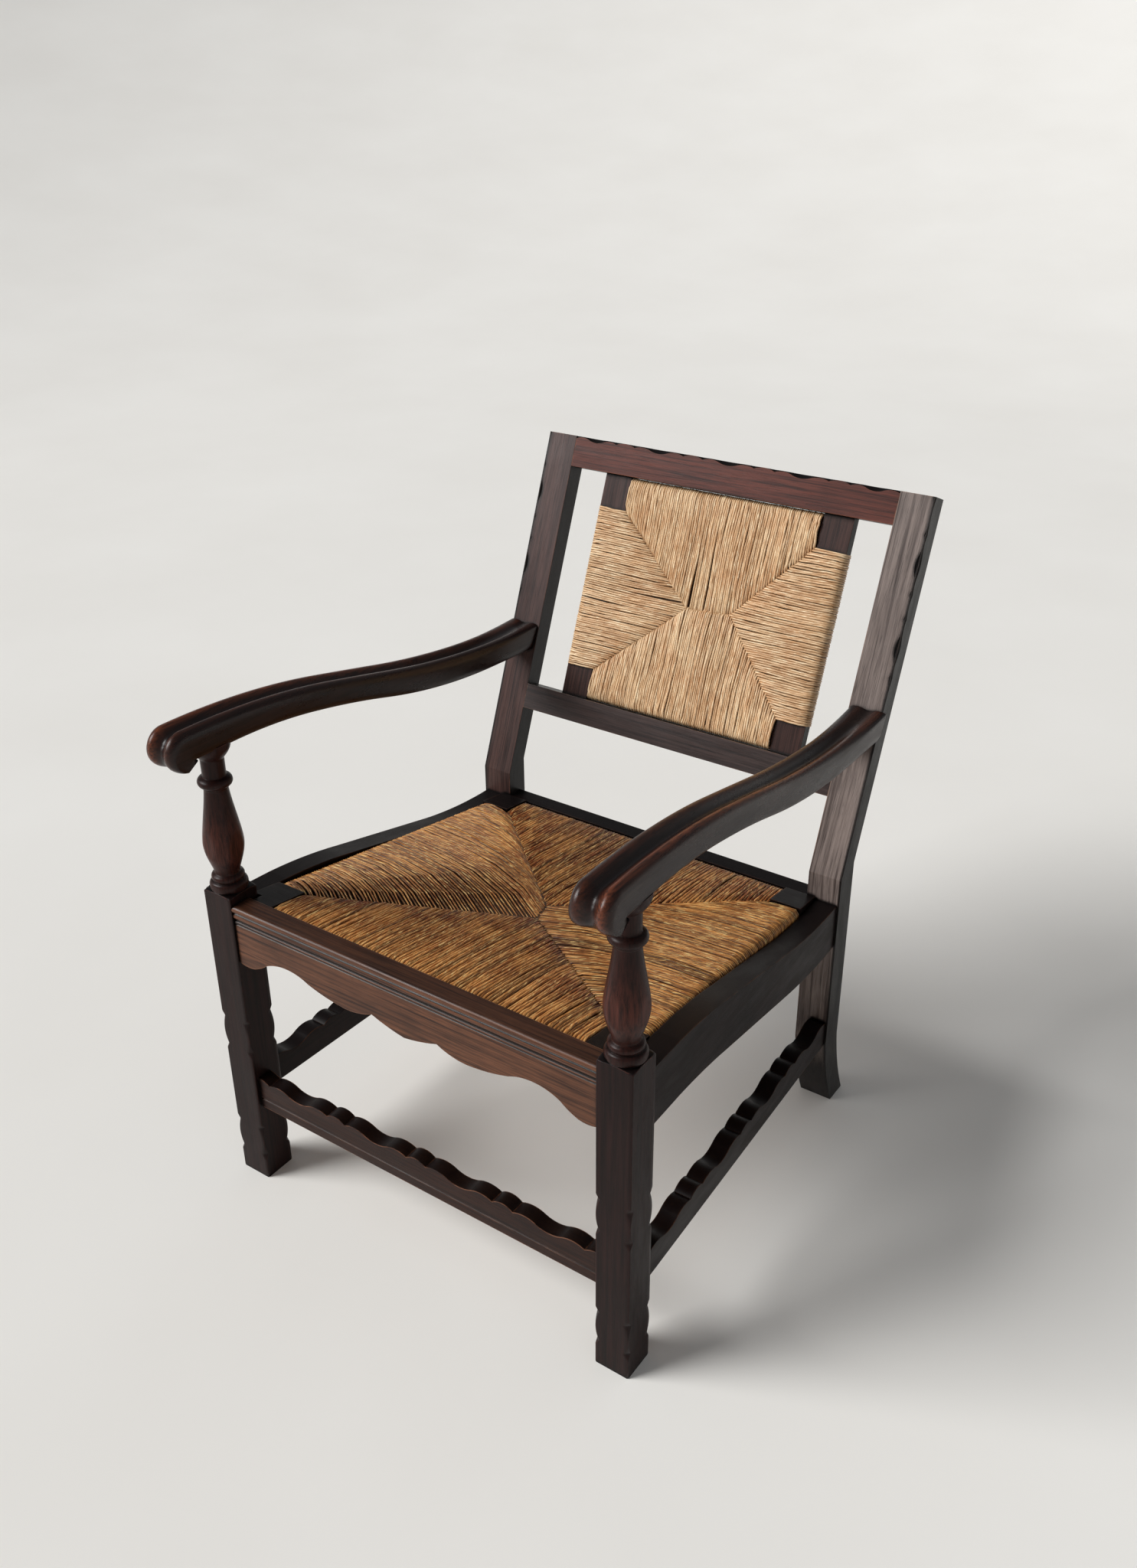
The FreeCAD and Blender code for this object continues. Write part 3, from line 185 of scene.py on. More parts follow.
def dark_oak(
    name, grain, dark, brown, worn, wax=(0.34, 0.46, 0.18), painted_shade=0.8, quirks=(), show=None,
    carved_way=None, bend=None,
):
    """Quarter-sawn oak, stained nearly black brown and waxed: a satin skin over open pores.

    Grain runs along the pattern's own Z, and above bend leans back with the stiles. Colour is
    brown figure in bands 4 mm wide, less pores drawn 0.9 mm wide (the real 0.3 mm would not
    show). Painted shade blackens what faces up, and what lies in a corner or a groove as the
    occlusion finds it. At the heights in quirks painted shade fills the grooves between reeds,
    3 mm wide. Where show gives the way the show face looks, painted shade covers every other
    face and the carving cut into its arris, and 3 mm of the face beside an arris that looks
    carved_way. Paler oak shows where a rounded normal leaves the flat one, as dusters wear the
    arrises through, and where a turned or reeded piece says that hands rub it. wax is its
    lowest and highest roughness and its share of a full film's reflection, which open grain
    breaks up.
    """
    material, tree = new_material(name)
    place = add_node(tree, "ShaderNodeTexCoord").outputs["Object"]
    x, y, z = add_node(tree, "ShaderNodeSeparateXYZ", Vector=place).outputs
    if bend is not None:
        above = add_node(tree, "ShaderNodeMath", LESS, i0=z, i1=bend / 1000).outputs[0]
        above = add_node(tree, "ShaderNodeMath", {"operation": "MAXIMUM"}, i0=above, i1=0.0).outputs[0]
        upright = add_node(
            tree, "ShaderNodeMath", {"operation": "MULTIPLY_ADD"}, i0=above, i1=-math.tan(RAKE), i2=y
        ).outputs[0]
        place = add_node(tree, "ShaderNodeCombineXYZ", X=x, Y=upright, Z=z).outputs[0]
    figure = pattern(tree, place, grain, (4, 4, 170), 4.0, 0.62, 0.5)
    cloud = pattern(tree, place, grain, (70, 70, 120), 3.0)
    pores = pattern(tree, place, grain, (0.9, 0.9, 30), 3.0, 0.65)
    flat = add_node(tree, "ShaderNodeNewGeometry").outputs["Normal"]
    up = add_node(tree, "ShaderNodeVectorMath", DOT, i0=flat, i1=(0, 0, 1)).outputs["Value"]
    rounded = add_node(tree, "ShaderNodeBevel", {"samples": 6}, Radius=0.0022).outputs[0]
    rounded = add_node(tree, "ShaderNodeVectorMath", DOT, i0=flat, i1=rounded).outputs["Value"]
    rubs = pattern(tree, place, grain, (12, 12, 45), 3.0, 0.7)
    rubs = add_node(
        tree, "ShaderNodeMapRange", EASED, Value=rubs, From_Min=0.36, From_Max=0.62, To_Max=0.8
    ).outputs[0]
    handled = add_node(tree, "ShaderNodeAttribute", {"attribute_name": "handled"}).outputs["Fac"]
    streaks = pattern(tree, place, grain, (2.6, 2.6, 50), 4.0, 0.7)
    painted_hollow_shade = add_node(tree, "ShaderNodeAmbientOcclusion", {"samples": 8}, Distance=0.006).outputs["AO"]
    base = coat(tree, linear(dark), brown, figure, 0.25, 0.64)
    base = coat(tree, base, dark, cloud, 0.45, 0.75, 0.5)
    base = coat(tree, base, "#0B0606", pores, 0.5, 0.64, 0.45)
    # Painted shade: faces that look up are blackened
    base = coat(tree, base, "#0C0707", up, 0.5, 0.9, painted_shade)
    base = coat(tree, base, worn, rounded, 0.985, 0.84, within=rubs)
    base = coat(tree, base, worn, streaks, 0.25, 0.7, within=handled)
    # Painted shade in corners and grooves, where the occlusion within 6 mm is low
    base = coat(tree, base, "#060404", painted_hollow_shade, 0.94, 0.6, 0.95)
    # Painted shade in the grooves between reeds, 3 mm wide round each height in quirks
    for quirk in quirks:
        away = add_node(tree, "ShaderNodeMath", LESS, i0=z, i1=quirk / 1000).outputs[0]
        away = add_node(tree, "ShaderNodeMath", {"operation": "ABSOLUTE"}, i0=away).outputs[0]
        base = coat(tree, base, "#060404", away, 0.0020, 0.0011, 0.96)
    # Painted shade on every face that does not look the show way, and on the carving in its arris
    if show is not None:
        shown = add_node(tree, "ShaderNodeVectorMath", DOT, i0=flat, i1=show).outputs["Value"]
        base = coat(tree, base, "#080505", shown, 0.91, 0.80, 0.95)
    # Painted shade in a band 3 mm wide on the face beside an arris that looks carved_way
    if carved_way is not None:
        beside = add_node(tree, "ShaderNodeBevel", {"samples": 12}, Radius=0.006).outputs[0]
        beside = add_node(tree, "ShaderNodeVectorMath", DOT, i0=beside, i1=carved_way).outputs["Value"]
        base = coat(tree, base, "#0A0605", beside, 0.04, 0.10, 0.95)
    skin = add_node(
        tree, "ShaderNodeMapRange", EASED, Value=pattern(tree, place, grain, (22, 22, 90), 4.0, 0.7),
        From_Min=0.3, From_Max=0.7, To_Min=wax[0], To_Max=wax[1],
    ).outputs[0]
    soft_edge = add_node(tree, "ShaderNodeBevel", {"samples": 4}, Radius=0.0012).outputs[0]
    dents = add_node(tree, "ShaderNodeMapRange", EASED, Value=pores, From_Min=0.5, From_Max=0.64).outputs[0]
    relief = add_node(
        tree, "ShaderNodeBump", {"invert": True},
        Strength=0.12, Distance=0.0004, Height=dents, Normal=soft_edge,
    ).outputs[0]
    shader = add_node(
        tree, "ShaderNodeBsdfPrincipled",
        Base_Color=base, Roughness=skin, IOR=1.46, Specular_IOR_Level=wax[2], Normal=relief,
    )
    add_node(tree, "ShaderNodeOutputMaterial", Surface=shader.outputs[0])
    return material


OAK_LEG = dark_oak("waxed_black_oak_turned", UPRIGHT, "#100807", "#241210", "#63352A", (0.28, 0.42, 0.16))
# The maker's y = 0 is this far from the part's own origin
SHIFT = -342.185


def to_part(points):
    """Millimetres in the maker's frame, as an array, to metres in the part's frame"""
    return (np.asarray(points, float) + (0.0, SHIFT, 0.0)) / 1000


def add_piece(name, points, faces, material, body, replaced=()):
    """A smooth mesh piece from points in the maker's frame, with its material, parented to its body, and
    hiding the nodes it replaces
    """
    mesh = bpy.data.meshes.new(name)
    mesh.from_pydata(to_part(points).tolist(), [], faces)
    mesh.materials.append(material)
    mesh.polygons.foreach_set("use_smooth", np.ones(len(mesh.polygons), bool))
    mesh.update()
    piece = bpy.data.objects.new(name, mesh)
    bpy.context.scene.collection.objects.link(piece)
    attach(piece, body)
    if replaced:
        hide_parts(*replaced)
    return piece


def add_values(piece, name, values):
    """A value for each point of the mesh, which its material reads by name"""
    layer = piece.data.attributes.new(name, "FLOAT", "POINT")
    layer.data.foreach_set("value", np.ascontiguousarray(values, float).ravel())


def capped(rows, columns):
    """The faces of a tube with both its ends closed"""
    last = (rows - 1) * columns
    ends = [list(range(columns))[::-1], list(range(last, last + columns))]
    return tube_faces(rows, columns).tolist() + ends


# Half the block's width and depth, the place of its axis, and where its top and the arm's foot are
LEG_HALF = (22.5, 22.0)
LEG_AXIS = (286.2, 22.0)
BLOCK_TOP, ARM_SEAT = 443.5, 638.0


def turned_radius(height):
    """Radius of the lathe's profile in millimetres, by shares of the turned length.

    From below: a torus, a bead, a foot, a vase that swells like a sine and thins to a waist, a
    fillet, a thin ring, a neck and a cap that spreads under the arm. Rings are half ellipses.
    """
    share = (height - BLOCK_TOP) / (ARM_SEAT - BLOCK_TOP)

    def ring(low, high, root_low, root_high, full):
        across = np.clip((2 * share - low - high) / (high - low), -1, 1)
        root = np.where(across < 0, root_low, root_high)
        return root + (full - root) * np.sqrt(1 - across ** 2)

    def part_way(low, high):
        return np.clip((share - low) / (high - low), 0, 1)

    torus, bead, foot, belly, waist, fillet, thin_ring, neck = (
        0.067, 0.113, 0.128, 0.33, 0.70, 0.718, 0.782, 0.905,
    )
    thins = part_way(belly, fillet)
    shapes = [
        (torus, ring(0.0, torus, 21.3, 17.6, 23.3)),
        (bead, ring(torus, bead, 17.6, 15.4, 20.0)),
        (foot, 15.4 + 0 * share),
        (belly, 15.4 + 9.1 * np.sin(part_way(foot, belly) * np.pi / 2) ** 1.15),
        (waist, 24.5 - 10.4 * (0.5 * np.sin(thins * np.pi / 2) ** 1.6 + 0.5 * thins ** 1.2)),
        (fillet, 15.2 + 0 * share),
        (thin_ring, ring(fillet, thin_ring, 14.6, 14.6, 20.8)),
        (neck, 14.1 + 0 * share),
    ]
    cap = 14.1 + 9.6 * np.sin(part_way(neck, 1.0) * np.pi / 2)
    return np.select([share < end for end, _ in shapes], [shape for _, shape in shapes], cap)


def notch_share(height):
    """How far the arris is cut back, as a share of the block's half width.

    Round each carved place the cut runs in over 8 mm to a V, comes out in a rounded lobe, and
    does the same above: two Vs 45 mm apart with a lobe between them.
    """
    uncut, to_v, to_end = 0.03, 22.5, 30.5
    cut = np.full_like(height, uncut)
    for middle in (60.5, 231.0):
        away = np.abs(height - middle)
        lobe = 0.02 + 0.22 * (away / to_v) ** 2
        run = np.maximum(0.24 * (to_end - away) / (to_end - to_v), uncut)
        cut = np.where(away < to_v, lobe, np.where(away < to_end, run, cut))
    return cut


def front_leg(side):
    """Ray by ray round the axis, the nearer of the carved square block and the lathe's profile.

    The block's top is rounded over to the torus by a quarter ellipse 9.5 mm wide and 4 mm high,
    and its foot is chamfered. Rows stand close together where the leg is carved or turned.
    """
    round_wide, round_high, out_of_reach = 9.5, 4.0, 60.0
    shoulder_low = BLOCK_TOP - round_high
    heights = np.concatenate([
        [0.0, 1.2], np.linspace(14, 28, 3), np.linspace(29, 92, 45), np.linspace(108, 190, 4),
        np.linspace(199.5, 262.5, 45), np.linspace(280, 436, 6),
        np.linspace(shoulder_low, BLOCK_TOP - 0.05, 9), np.linspace(BLOCK_TOP, ARM_SEAT + 3, 200),
    ])
    up_shoulder = np.clip(heights - shoulder_low, 0, round_high) / round_high
    shoulder = LEG_HALF[1] + round_wide * np.sqrt(np.clip(1 - up_shoulder ** 2, 0, 1))
    lathe = np.where(heights < BLOCK_TOP, shoulder, turned_radius(heights))
    lathe = np.where(heights <= shoulder_low, out_of_reach, lathe)
    cut = notch_share(heights)[:, None]
    cut[0] += 0.05
    face = np.linspace(-1, 1, 11)[None, :-1]
    turn = np.linspace(0, 1, 6)[None, :]
    bulge = 0.075 * cut * np.sin(turn * np.pi)
    quarter_x = np.concatenate([np.ones_like(cut * face), 1 - cut * turn + bulge], 1)
    quarter_y = np.concatenate([(1 - cut) * face, 1 - cut * (1 - turn) + bulge], 1)
    ring_x = np.concatenate([quarter_x, -quarter_y, -quarter_x, quarter_y], 1) * LEG_HALF[0]
    ring_y = np.concatenate([quarter_y, quarter_x, -quarter_y, -quarter_x], 1) * LEG_HALF[1]
    reach = np.hypot(ring_x, ring_y)
    scale = np.minimum(reach, lathe[:, None]) / reach
    points = np.stack([
        side * LEG_AXIS[0] + ring_x * scale, LEG_AXIS[1] + ring_y * scale, heights[:, None] + 0 * reach,
    ], -1)
    hand = "left" if side > 0 else "right"
    piece = add_piece(
        "turned_front_leg_" + hand, points.reshape(-1, 3), capped(*reach.shape),
        OAK_LEG, "chair_frame", ["front_leg_" + hand],
    )
    # Hands and legs have rubbed the turned part, and most of all the belly of the vase
    share = (heights - BLOCK_TOP) / (ARM_SEAT - BLOCK_TOP)
    rubbed = np.where(share > 0.005, 0.12 + 0.5 * np.exp(-((share - 0.33) / 0.16) ** 2), 0.0)
    add_values(piece, "handled", rubbed[:, None] + 0 * reach)
    piece.data.set_sharp_from_angle(angle=math.radians(38))


front_leg(1)
front_leg(-1)


# Rear legs. Each is sawn from one board: a foot kicked backwards, an upright part, and a stile
# raked back whose outer front arris is carved. The grain follows the stile.
RAKE = math.radians(21.3)
OUT_BACK = np.array((0.0, -math.cos(RAKE), math.sin(RAKE)))
STILE_FRONT, STILE_ROOT = 531.0, 387.0


def stile_front(height):
    """How far back a stile's front face is, at a height above its root"""
    return STILE_FRONT + (height - STILE_ROOT) * math.tan(RAKE)


def finish_node(node, material):
    """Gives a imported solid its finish, in its object's own material slots"""
    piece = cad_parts[node]
    if not piece.material_slots:
        piece.data.materials.append(material)
    for slot in piece.material_slots:
        slot.material = material


# The left stile's pale grey tones are a painted sheen of reflected light on its raked front; the right
# stile's tones are its own
for hand, way, tones in (
    ("left", 1, ("#3B302D", "#7E716B", "#9A7A66")), ("right", -1, ("#241614", "#4A332E", "#80543F"))
):
    finish_node("rear_leg_" + hand, dark_oak(
        "waxed_oak_stile_" + hand, UPRIGHT, *tones, (0.30, 0.44, 0.24),
        show=OUT_BACK, carved_way=(way, 0, 0), bend=STILE_ROOT,
    ))


# Seat rails. The front rail is reeded along its top and cut to a scalloped apron, the side rails
# fall in an S-curve to the plain rear rail. All are tenoned into the legs.
OAK_FRONT = dark_oak(
    "waxed_brown_oak_front", ACROSS, "#25140E", "#68422E", "#9A6848", (0.28, 0.40, 0.24),
    painted_shade=0.5, quirks=(422.6, 413.2, 408.0),
)
OAK_BLACK_ACROSS = dark_oak(
    "waxed_black_oak_across", ACROSS, "#0C0606", "#190E0C", "#4E2F21", (0.34, 0.46, 0.13)
)
OAK_BLACK_DEEP = dark_oak(
    "waxed_black_oak_front_to_back", FRONT_TO_BACK, "#0C0606", "#1B0F0D", "#56341F", (0.34, 0.46, 0.13)
)
finish_node("front_seat_rail", OAK_FRONT)
finish_node("rear_seat_rail", OAK_BLACK_ACROSS)
for hand in ("left", "right"):
    finish_node("side_seat_rail_" + hand, OAK_BLACK_DEEP)


# Stretchers, scalloped along their top edges and tenoned low between the legs, where feet have
# rubbed the carved edges to bare wood.
OAK_RUBBED = dark_oak("waxed_rubbed_oak_across", ACROSS, "#170C0A", "#321D16", "#96654A")
finish_node("front_stretcher", OAK_RUBBED)
for hand in ("left", "right"):
    finish_node("side_stretcher_" + hand, OAK_BLACK_DEEP)


# Back. Its two rails are tenoned between the stiles, the posts that hold its rush are tenoned
# between them, and two cross rails inside the rush join the posts.
UP_BACK = np.array((0.0, math.sin(RAKE), math.cos(RAKE)))
OAK_BACK = dark_oak("waxed_brown_oak_back", ACROSS, "#2B1410", "#5E3026", "#925A40", show=OUT_BACK)
# Its grey tones are a painted sheen of reflected light on the lower back rail's raked front
OAK_PAINTED_SHEEN = dark_oak(
    "waxed_oak_across_painted_sheen", ACROSS, "#1C1413", "#3E302D", "#7A5A48", (0.30, 0.44, 0.26)
)
for node in ("top_rail", "back_rush_rail_top", "back_rush_rail_bottom"):
    finish_node(node, OAK_BACK)
finish_node("lower_back_rail", OAK_PAINTED_SHEEN)
OAK_POST = dark_oak(
    "waxed_brown_oak_post", UPRIGHT, "#1E1210", "#402A25", "#7A5040", show=OUT_BACK, bend=STILE_ROOT
)
for hand in ("left", "right"):
    finish_node("back_post_" + hand, OAK_POST)


# Arms. Each is sawn to a long S and worked into two round reeds with a hollow between them,
# which roll over in front to two knuckles and die away towards the stile.
OAK_ARM = dark_oak(
    "waxed_black_oak_arm", FRONT_TO_BACK, "#100908", "#241411", "#6F3B26", (0.24, 0.36, 0.30)
)
# Half its width, a reed's crest from its middle, its root on the leg, and its splay from the stile
ARM_HALF, CREST = 24.0, 14.0
ARM_ROOT = np.array((-14.6, ARM_SEAT))
ARM_SPLAY = math.atan2(LEG_AXIS[0] - 270.0, 606.86)


def arc_chain(start, heading, ends, count):
    """Points and inward normals along arcs through the ends, each tangent to the one before.

    The turn of an arc is twice the angle from its first tangent to its chord.
    """
    points, normals, here = [], [], np.array(start, float)
    for there in ends:
        chord = np.array(there, float) - here
        turn = 2 * ((math.atan2(chord[1], chord[0]) - heading + math.pi) % (2 * math.pi) - math.pi)
        angle = heading + np.linspace(0, turn, count)
        radius = np.hypot(*chord) / (2 * math.sin(turn / 2))
        points.append(np.stack([
            here[0] + radius * (np.sin(angle) - math.sin(heading)),
            here[1] - radius * (np.cos(angle) - math.cos(heading)),
        ], -1))
        normals.append(np.stack([-np.sin(angle), np.cos(angle)], -1))
        heading += turn
        here = np.array(there, float)
    return np.concatenate(points), np.concatenate(normals)


def resampled(points, normals, count):
    """The same line with its points at equal distances"""
    gaps = np.hypot(*np.diff(points, axis=0).T)
    along = np.concatenate([[0], np.cumsum(gaps)])
    even = np.linspace(0, along[-1], count)
    columns = np.concatenate([points, normals], 1)
    even_columns = np.stack([np.interp(even, along, column) for column in columns.T], -1)
    return even_columns[:, :2], even_columns[:, 2:]


def arm_lines():
    """In side view, as y and z: the crest line, its inward normals and the foot below it.

    The crest line is a chain of arcs from the stile to the front and round the knuckle, then goes
    straight in to the root, where the arm meets the leg. The foot is the arm's flat underside
    and ends at the root. Last comes the share of its full depth that the carving has: a quarter
    at the stile, all of it from 170 mm further on, and a quarter again under the knuckle.
    """
    per_arc, past_stile, fade_start, fade = 60, 1.0, 620.0, 170.0
    crest, inwards = arc_chain(
        (677.4, 600.0), math.radians(185.4),
        [(494.8, 599.7), (313.9, 628.3), (208.9, 651.7), (-27.0, 676.5), (-29.9, 626.4)], per_arc,
    )
    under, _ = arc_chain(
        (40.2, ARM_SEAT), 0.0, [(164.0, 627.3), (295.7, 597.8), (508.7, 564.4), (677.4, 557.6)], 40,
    )
    knuckle = crest[:, 0] < ARM_ROOT[0]
    knuckle[: per_arc * 3] = False
    first = int(np.argmax(knuckle))
    body, body_in = resampled(crest[:first], inwards[:first], 130)
    nose, nose_in = resampled(crest[first:], inwards[first:], 56)
    keep = body[:, 0] <= stile_front(body[:, 1]) + past_stile
    body, body_in = body[keep], body_in[keep]
    foot_end = stile_front(558.6) + past_stile
    foot_y = foot_end + (ARM_ROOT[0] - foot_end) * (body[0, 0] - body[:, 0]) / (body[0, 0] - ARM_ROOT[0])
    foot = np.stack([foot_y, np.interp(foot_y, under[:, 0], under[:, 1], left=ARM_SEAT)], -1)
    tail = nose[-1] + (ARM_ROOT - nose[-1]) * np.linspace(0, 1, 9)[1:-1, None]
    top = np.concatenate([body, nose, tail])
    inside = np.concatenate([body_in, nose_in, np.repeat(nose_in[-1:], len(tail), 0)])
    inside /= np.linalg.norm(inside, axis=1)[:, None]
    base = np.concatenate([foot, np.repeat(ARM_ROOT[None], len(nose) + len(tail), 0)])
    carved = np.clip((fade_start - top[:, :1]) / fade, 0, 1)
    carved = 0.25 + 0.75 * carved * carved * (3 - 2 * carved)
    round_nose = np.clip((np.arange(len(top)) - len(body)) / len(nose), 0, 1)[:, None]
    carved = carved * (1 - 0.75 * np.clip((round_nose - 0.45) / 0.45, 0, 1))
    return top, inside, base, carved


def arm(side):
    """A section carried along the crest: two reeds and a hollow, straight sides, a flat foot.

    Across the top the surface falls by hollow_deep (1 + cos(pi x / c)) / 2 inside the crests at
    x = c, and by side_fall (1 - sqrt(1 - o^2)) outside them, where o goes from 0 at a crest to 1
    at the side. It falls less in proportion where the arm is not as deep as full_room, and a
    quarter as much at the stile and under the knuckle. The arm splays from stile out to leg.
    """
    full_room, hollow_deep, side_fall = 24.0, 8.0, 11.0
    top, inside, base, carved = arm_lines()
    room = np.clip(np.hypot(*(top - base).T) / full_room, 0.02, 1)[:, None]
    rounds = CREST + (ARM_HALF - CREST) * np.sin(np.linspace(0, np.pi / 2, 9)[1:])
    across = np.concatenate([rounds[::-1], np.linspace(CREST, -CREST, 19), -rounds])
    outer = np.clip((np.abs(across) - CREST) / (ARM_HALF - CREST), 0, 1)
    hollow = hollow_deep / 2 * (1 + np.cos(np.pi * np.clip(np.abs(across) / CREST, 0, 1)))
    shed = side_fall * (1 - np.sqrt(1 - outer ** 2))
    drop = (hollow + shed)[None] * carved * room
    upper = top[:, None] + inside[:, None] * drop[..., None]
    upper_x = np.repeat(across[None], len(top), 0)
    down = np.linspace(0, 1, 7)[1:-1]
    wall = upper[:, -1:] + (base[:, None] - upper[:, -1:]) * (down[None, :, None] * 0.97)
    wall_x = -ARM_HALF + 1.6 * down[None] ** 1.5 + 0 * wall[..., 0]
    foot_line = np.repeat(base[:, None], 7, 1)
    foot_x = np.repeat(np.linspace(-ARM_HALF + 4, ARM_HALF - 4, 7)[None], len(top), 0)
    line = np.concatenate([upper, wall, foot_line, wall[:, ::-1]], 1)
    line_x = np.concatenate([upper_x, wall_x, foot_x, -wall_x[:, ::-1]], 1)
    leg_x, leg_y = LEG_AXIS
    depth = line[..., 0] - leg_y
    points = np.stack([
        side * (leg_x - depth * math.sin(ARM_SPLAY)) + line_x * math.cos(ARM_SPLAY),
        leg_y + depth * math.cos(ARM_SPLAY) + side * line_x * math.sin(ARM_SPLAY),
        line[..., 1],
    ], -1)
    hand = "left" if side > 0 else "right"
    piece = add_piece(
        "reeded_arm_" + hand, points.reshape(-1, 3), capped(*line_x.shape),
        OAK_ARM, "chair_frame", ["arm_" + hand],
    )
    # Hands have rubbed the reeds along their crests, the outer one most, and towards the front
    rubbed = np.exp(-((np.abs(line_x) - 13) / 6) ** 2) * np.where(side * line_x > 0, 0.95, 0.35)
    rubbed[:, upper_x.shape[1]:] *= 0.15
    add_values(piece, "handled", rubbed * (0.4 + 0.6 * np.clip((480 - top[:, :1]) / 200, 0, 1)))
    piece.data.set_sharp_from_angle(angle=math.radians(50))


arm(1)
arm(-1)


# Seat frame. A loose frame of oak inside the rush: only the corner blocks at the ends of its
# front and rear members show.
for node in ("seat_frame_front", "seat_frame_rear"):
    finish_node(node, OAK_BLACK_ACROSS)
for hand in ("left", "right"):
    finish_node("seat_frame_" + hand, OAK_BLACK_DEEP)


# Seat rush. Twisted strands of bulrush are wound over the frame rail by rail, each from its
# seam over the edge and back underneath, so that four triangular sections meet in the middle.
def twisted_rush(name, glint, pale, straw, dark, patch, patch_size, painted_shade, fleck_size):
    """Dried rush, twisted by hand into a cord: a dull straw skin of long flat fibres.

    The map runs along the strand and round it in metres. Fibres are 0.9 mm wide and 30 mm long
    and lie at 14 degrees to the strand, as the twist leaves them. Split ends are flecks of
    fleck_size with painted highlights as if they caught the light and painted shade beside
    them, drawn 2 to 4 mm wide because the real 1 mm would not show. Each strand has its own
    tone, painted shade darkens the gaps between strands, one strength setting both, and
    handling has browned the rush in patches of patch_size.
    """
    material, tree = new_material(name)
    strand = add_node(tree, "ShaderNodeUVMap", {"uv_map": "strand"}).outputs[0]
    place = add_node(tree, "ShaderNodeTexCoord").outputs["Object"]
    own, free_of_gap_shade, browned = [
        add_node(tree, "ShaderNodeAttribute", {"attribute_name": key}).outputs["Fac"]
        for key in ("own_shade", "free_of_gap_shade", "browned")
    ]
    fine = pattern(tree, strand, (0.0, 0.0, math.radians(14)), (30, 0.9, 1000), 2.0, 0.6)
    broad = pattern(tree, strand, (0.0, 0.0, math.radians(8)), (70, 3.2, 1000), 2.0, 0.6)
    fleck = pattern(tree, strand, (0.0, 0.0, math.radians(9)), (*fleck_size, 1000), 3.0, 0.7, 0.6)
    wear = pattern(tree, place, UPRIGHT, (patch_size, patch_size, patch_size), 4.0, 0.62)
    base = coat(tree, linear(straw), pale, broad, 0.3, 0.7)
    base = coat(tree, base, dark, own, 0.6, 0.0, 0.65 * painted_shade)
    base = coat(tree, base, patch, wear, 0.36, 0.62, within=browned, kind="MULTIPLY")
    base = coat(tree, base, dark, fine, 0.48, 0.32, 0.7)
    # Painted shade beside the split ends
    base = coat(tree, base, dark, fleck, 0.50, 0.36, 0.6)
    base = coat(tree, base, pale, fine, 0.58, 0.72, 0.8)
    # Painted highlights where the split ends would catch the light
    base = coat(tree, base, glint, fleck, 0.54, 0.66, 0.9)
    # Painted shade in the gaps between strands, darkest at a ring's lowest points
    base = coat(tree, base, dark, free_of_gap_shade, 0.98, 0.3, painted_shade)
    fibres = add_node(tree, "ShaderNodeMath", TIMES, i0=fine, i1=fleck).outputs[0]
    relief = add_node(tree, "ShaderNodeBump", Strength=0.6, Distance=0.0006, Height=fibres)
    shader = add_node(
        tree, "ShaderNodeBsdfPrincipled",
        Base_Color=base, Roughness=0.42, IOR=1.45, Specular_IOR_Level=0.35, Normal=relief.outputs[0],
    )
    add_node(tree, "ShaderNodeOutputMaterial", Surface=shader.outputs[0])
    return material


# A strand's section is six points at these angles round its middle. Next is how much each is
# spared of the painted shade that darkens the gaps between strands, and RING_SIDE the way from one to the
# next on the map.
RING = np.radians([90, 34, -28, -90, -152, 146])
RING_UNSHADED = np.array((1.0, 0.45, 0.0, 0.0, 0.0, 0.45))
RING_SIDE = 2.4


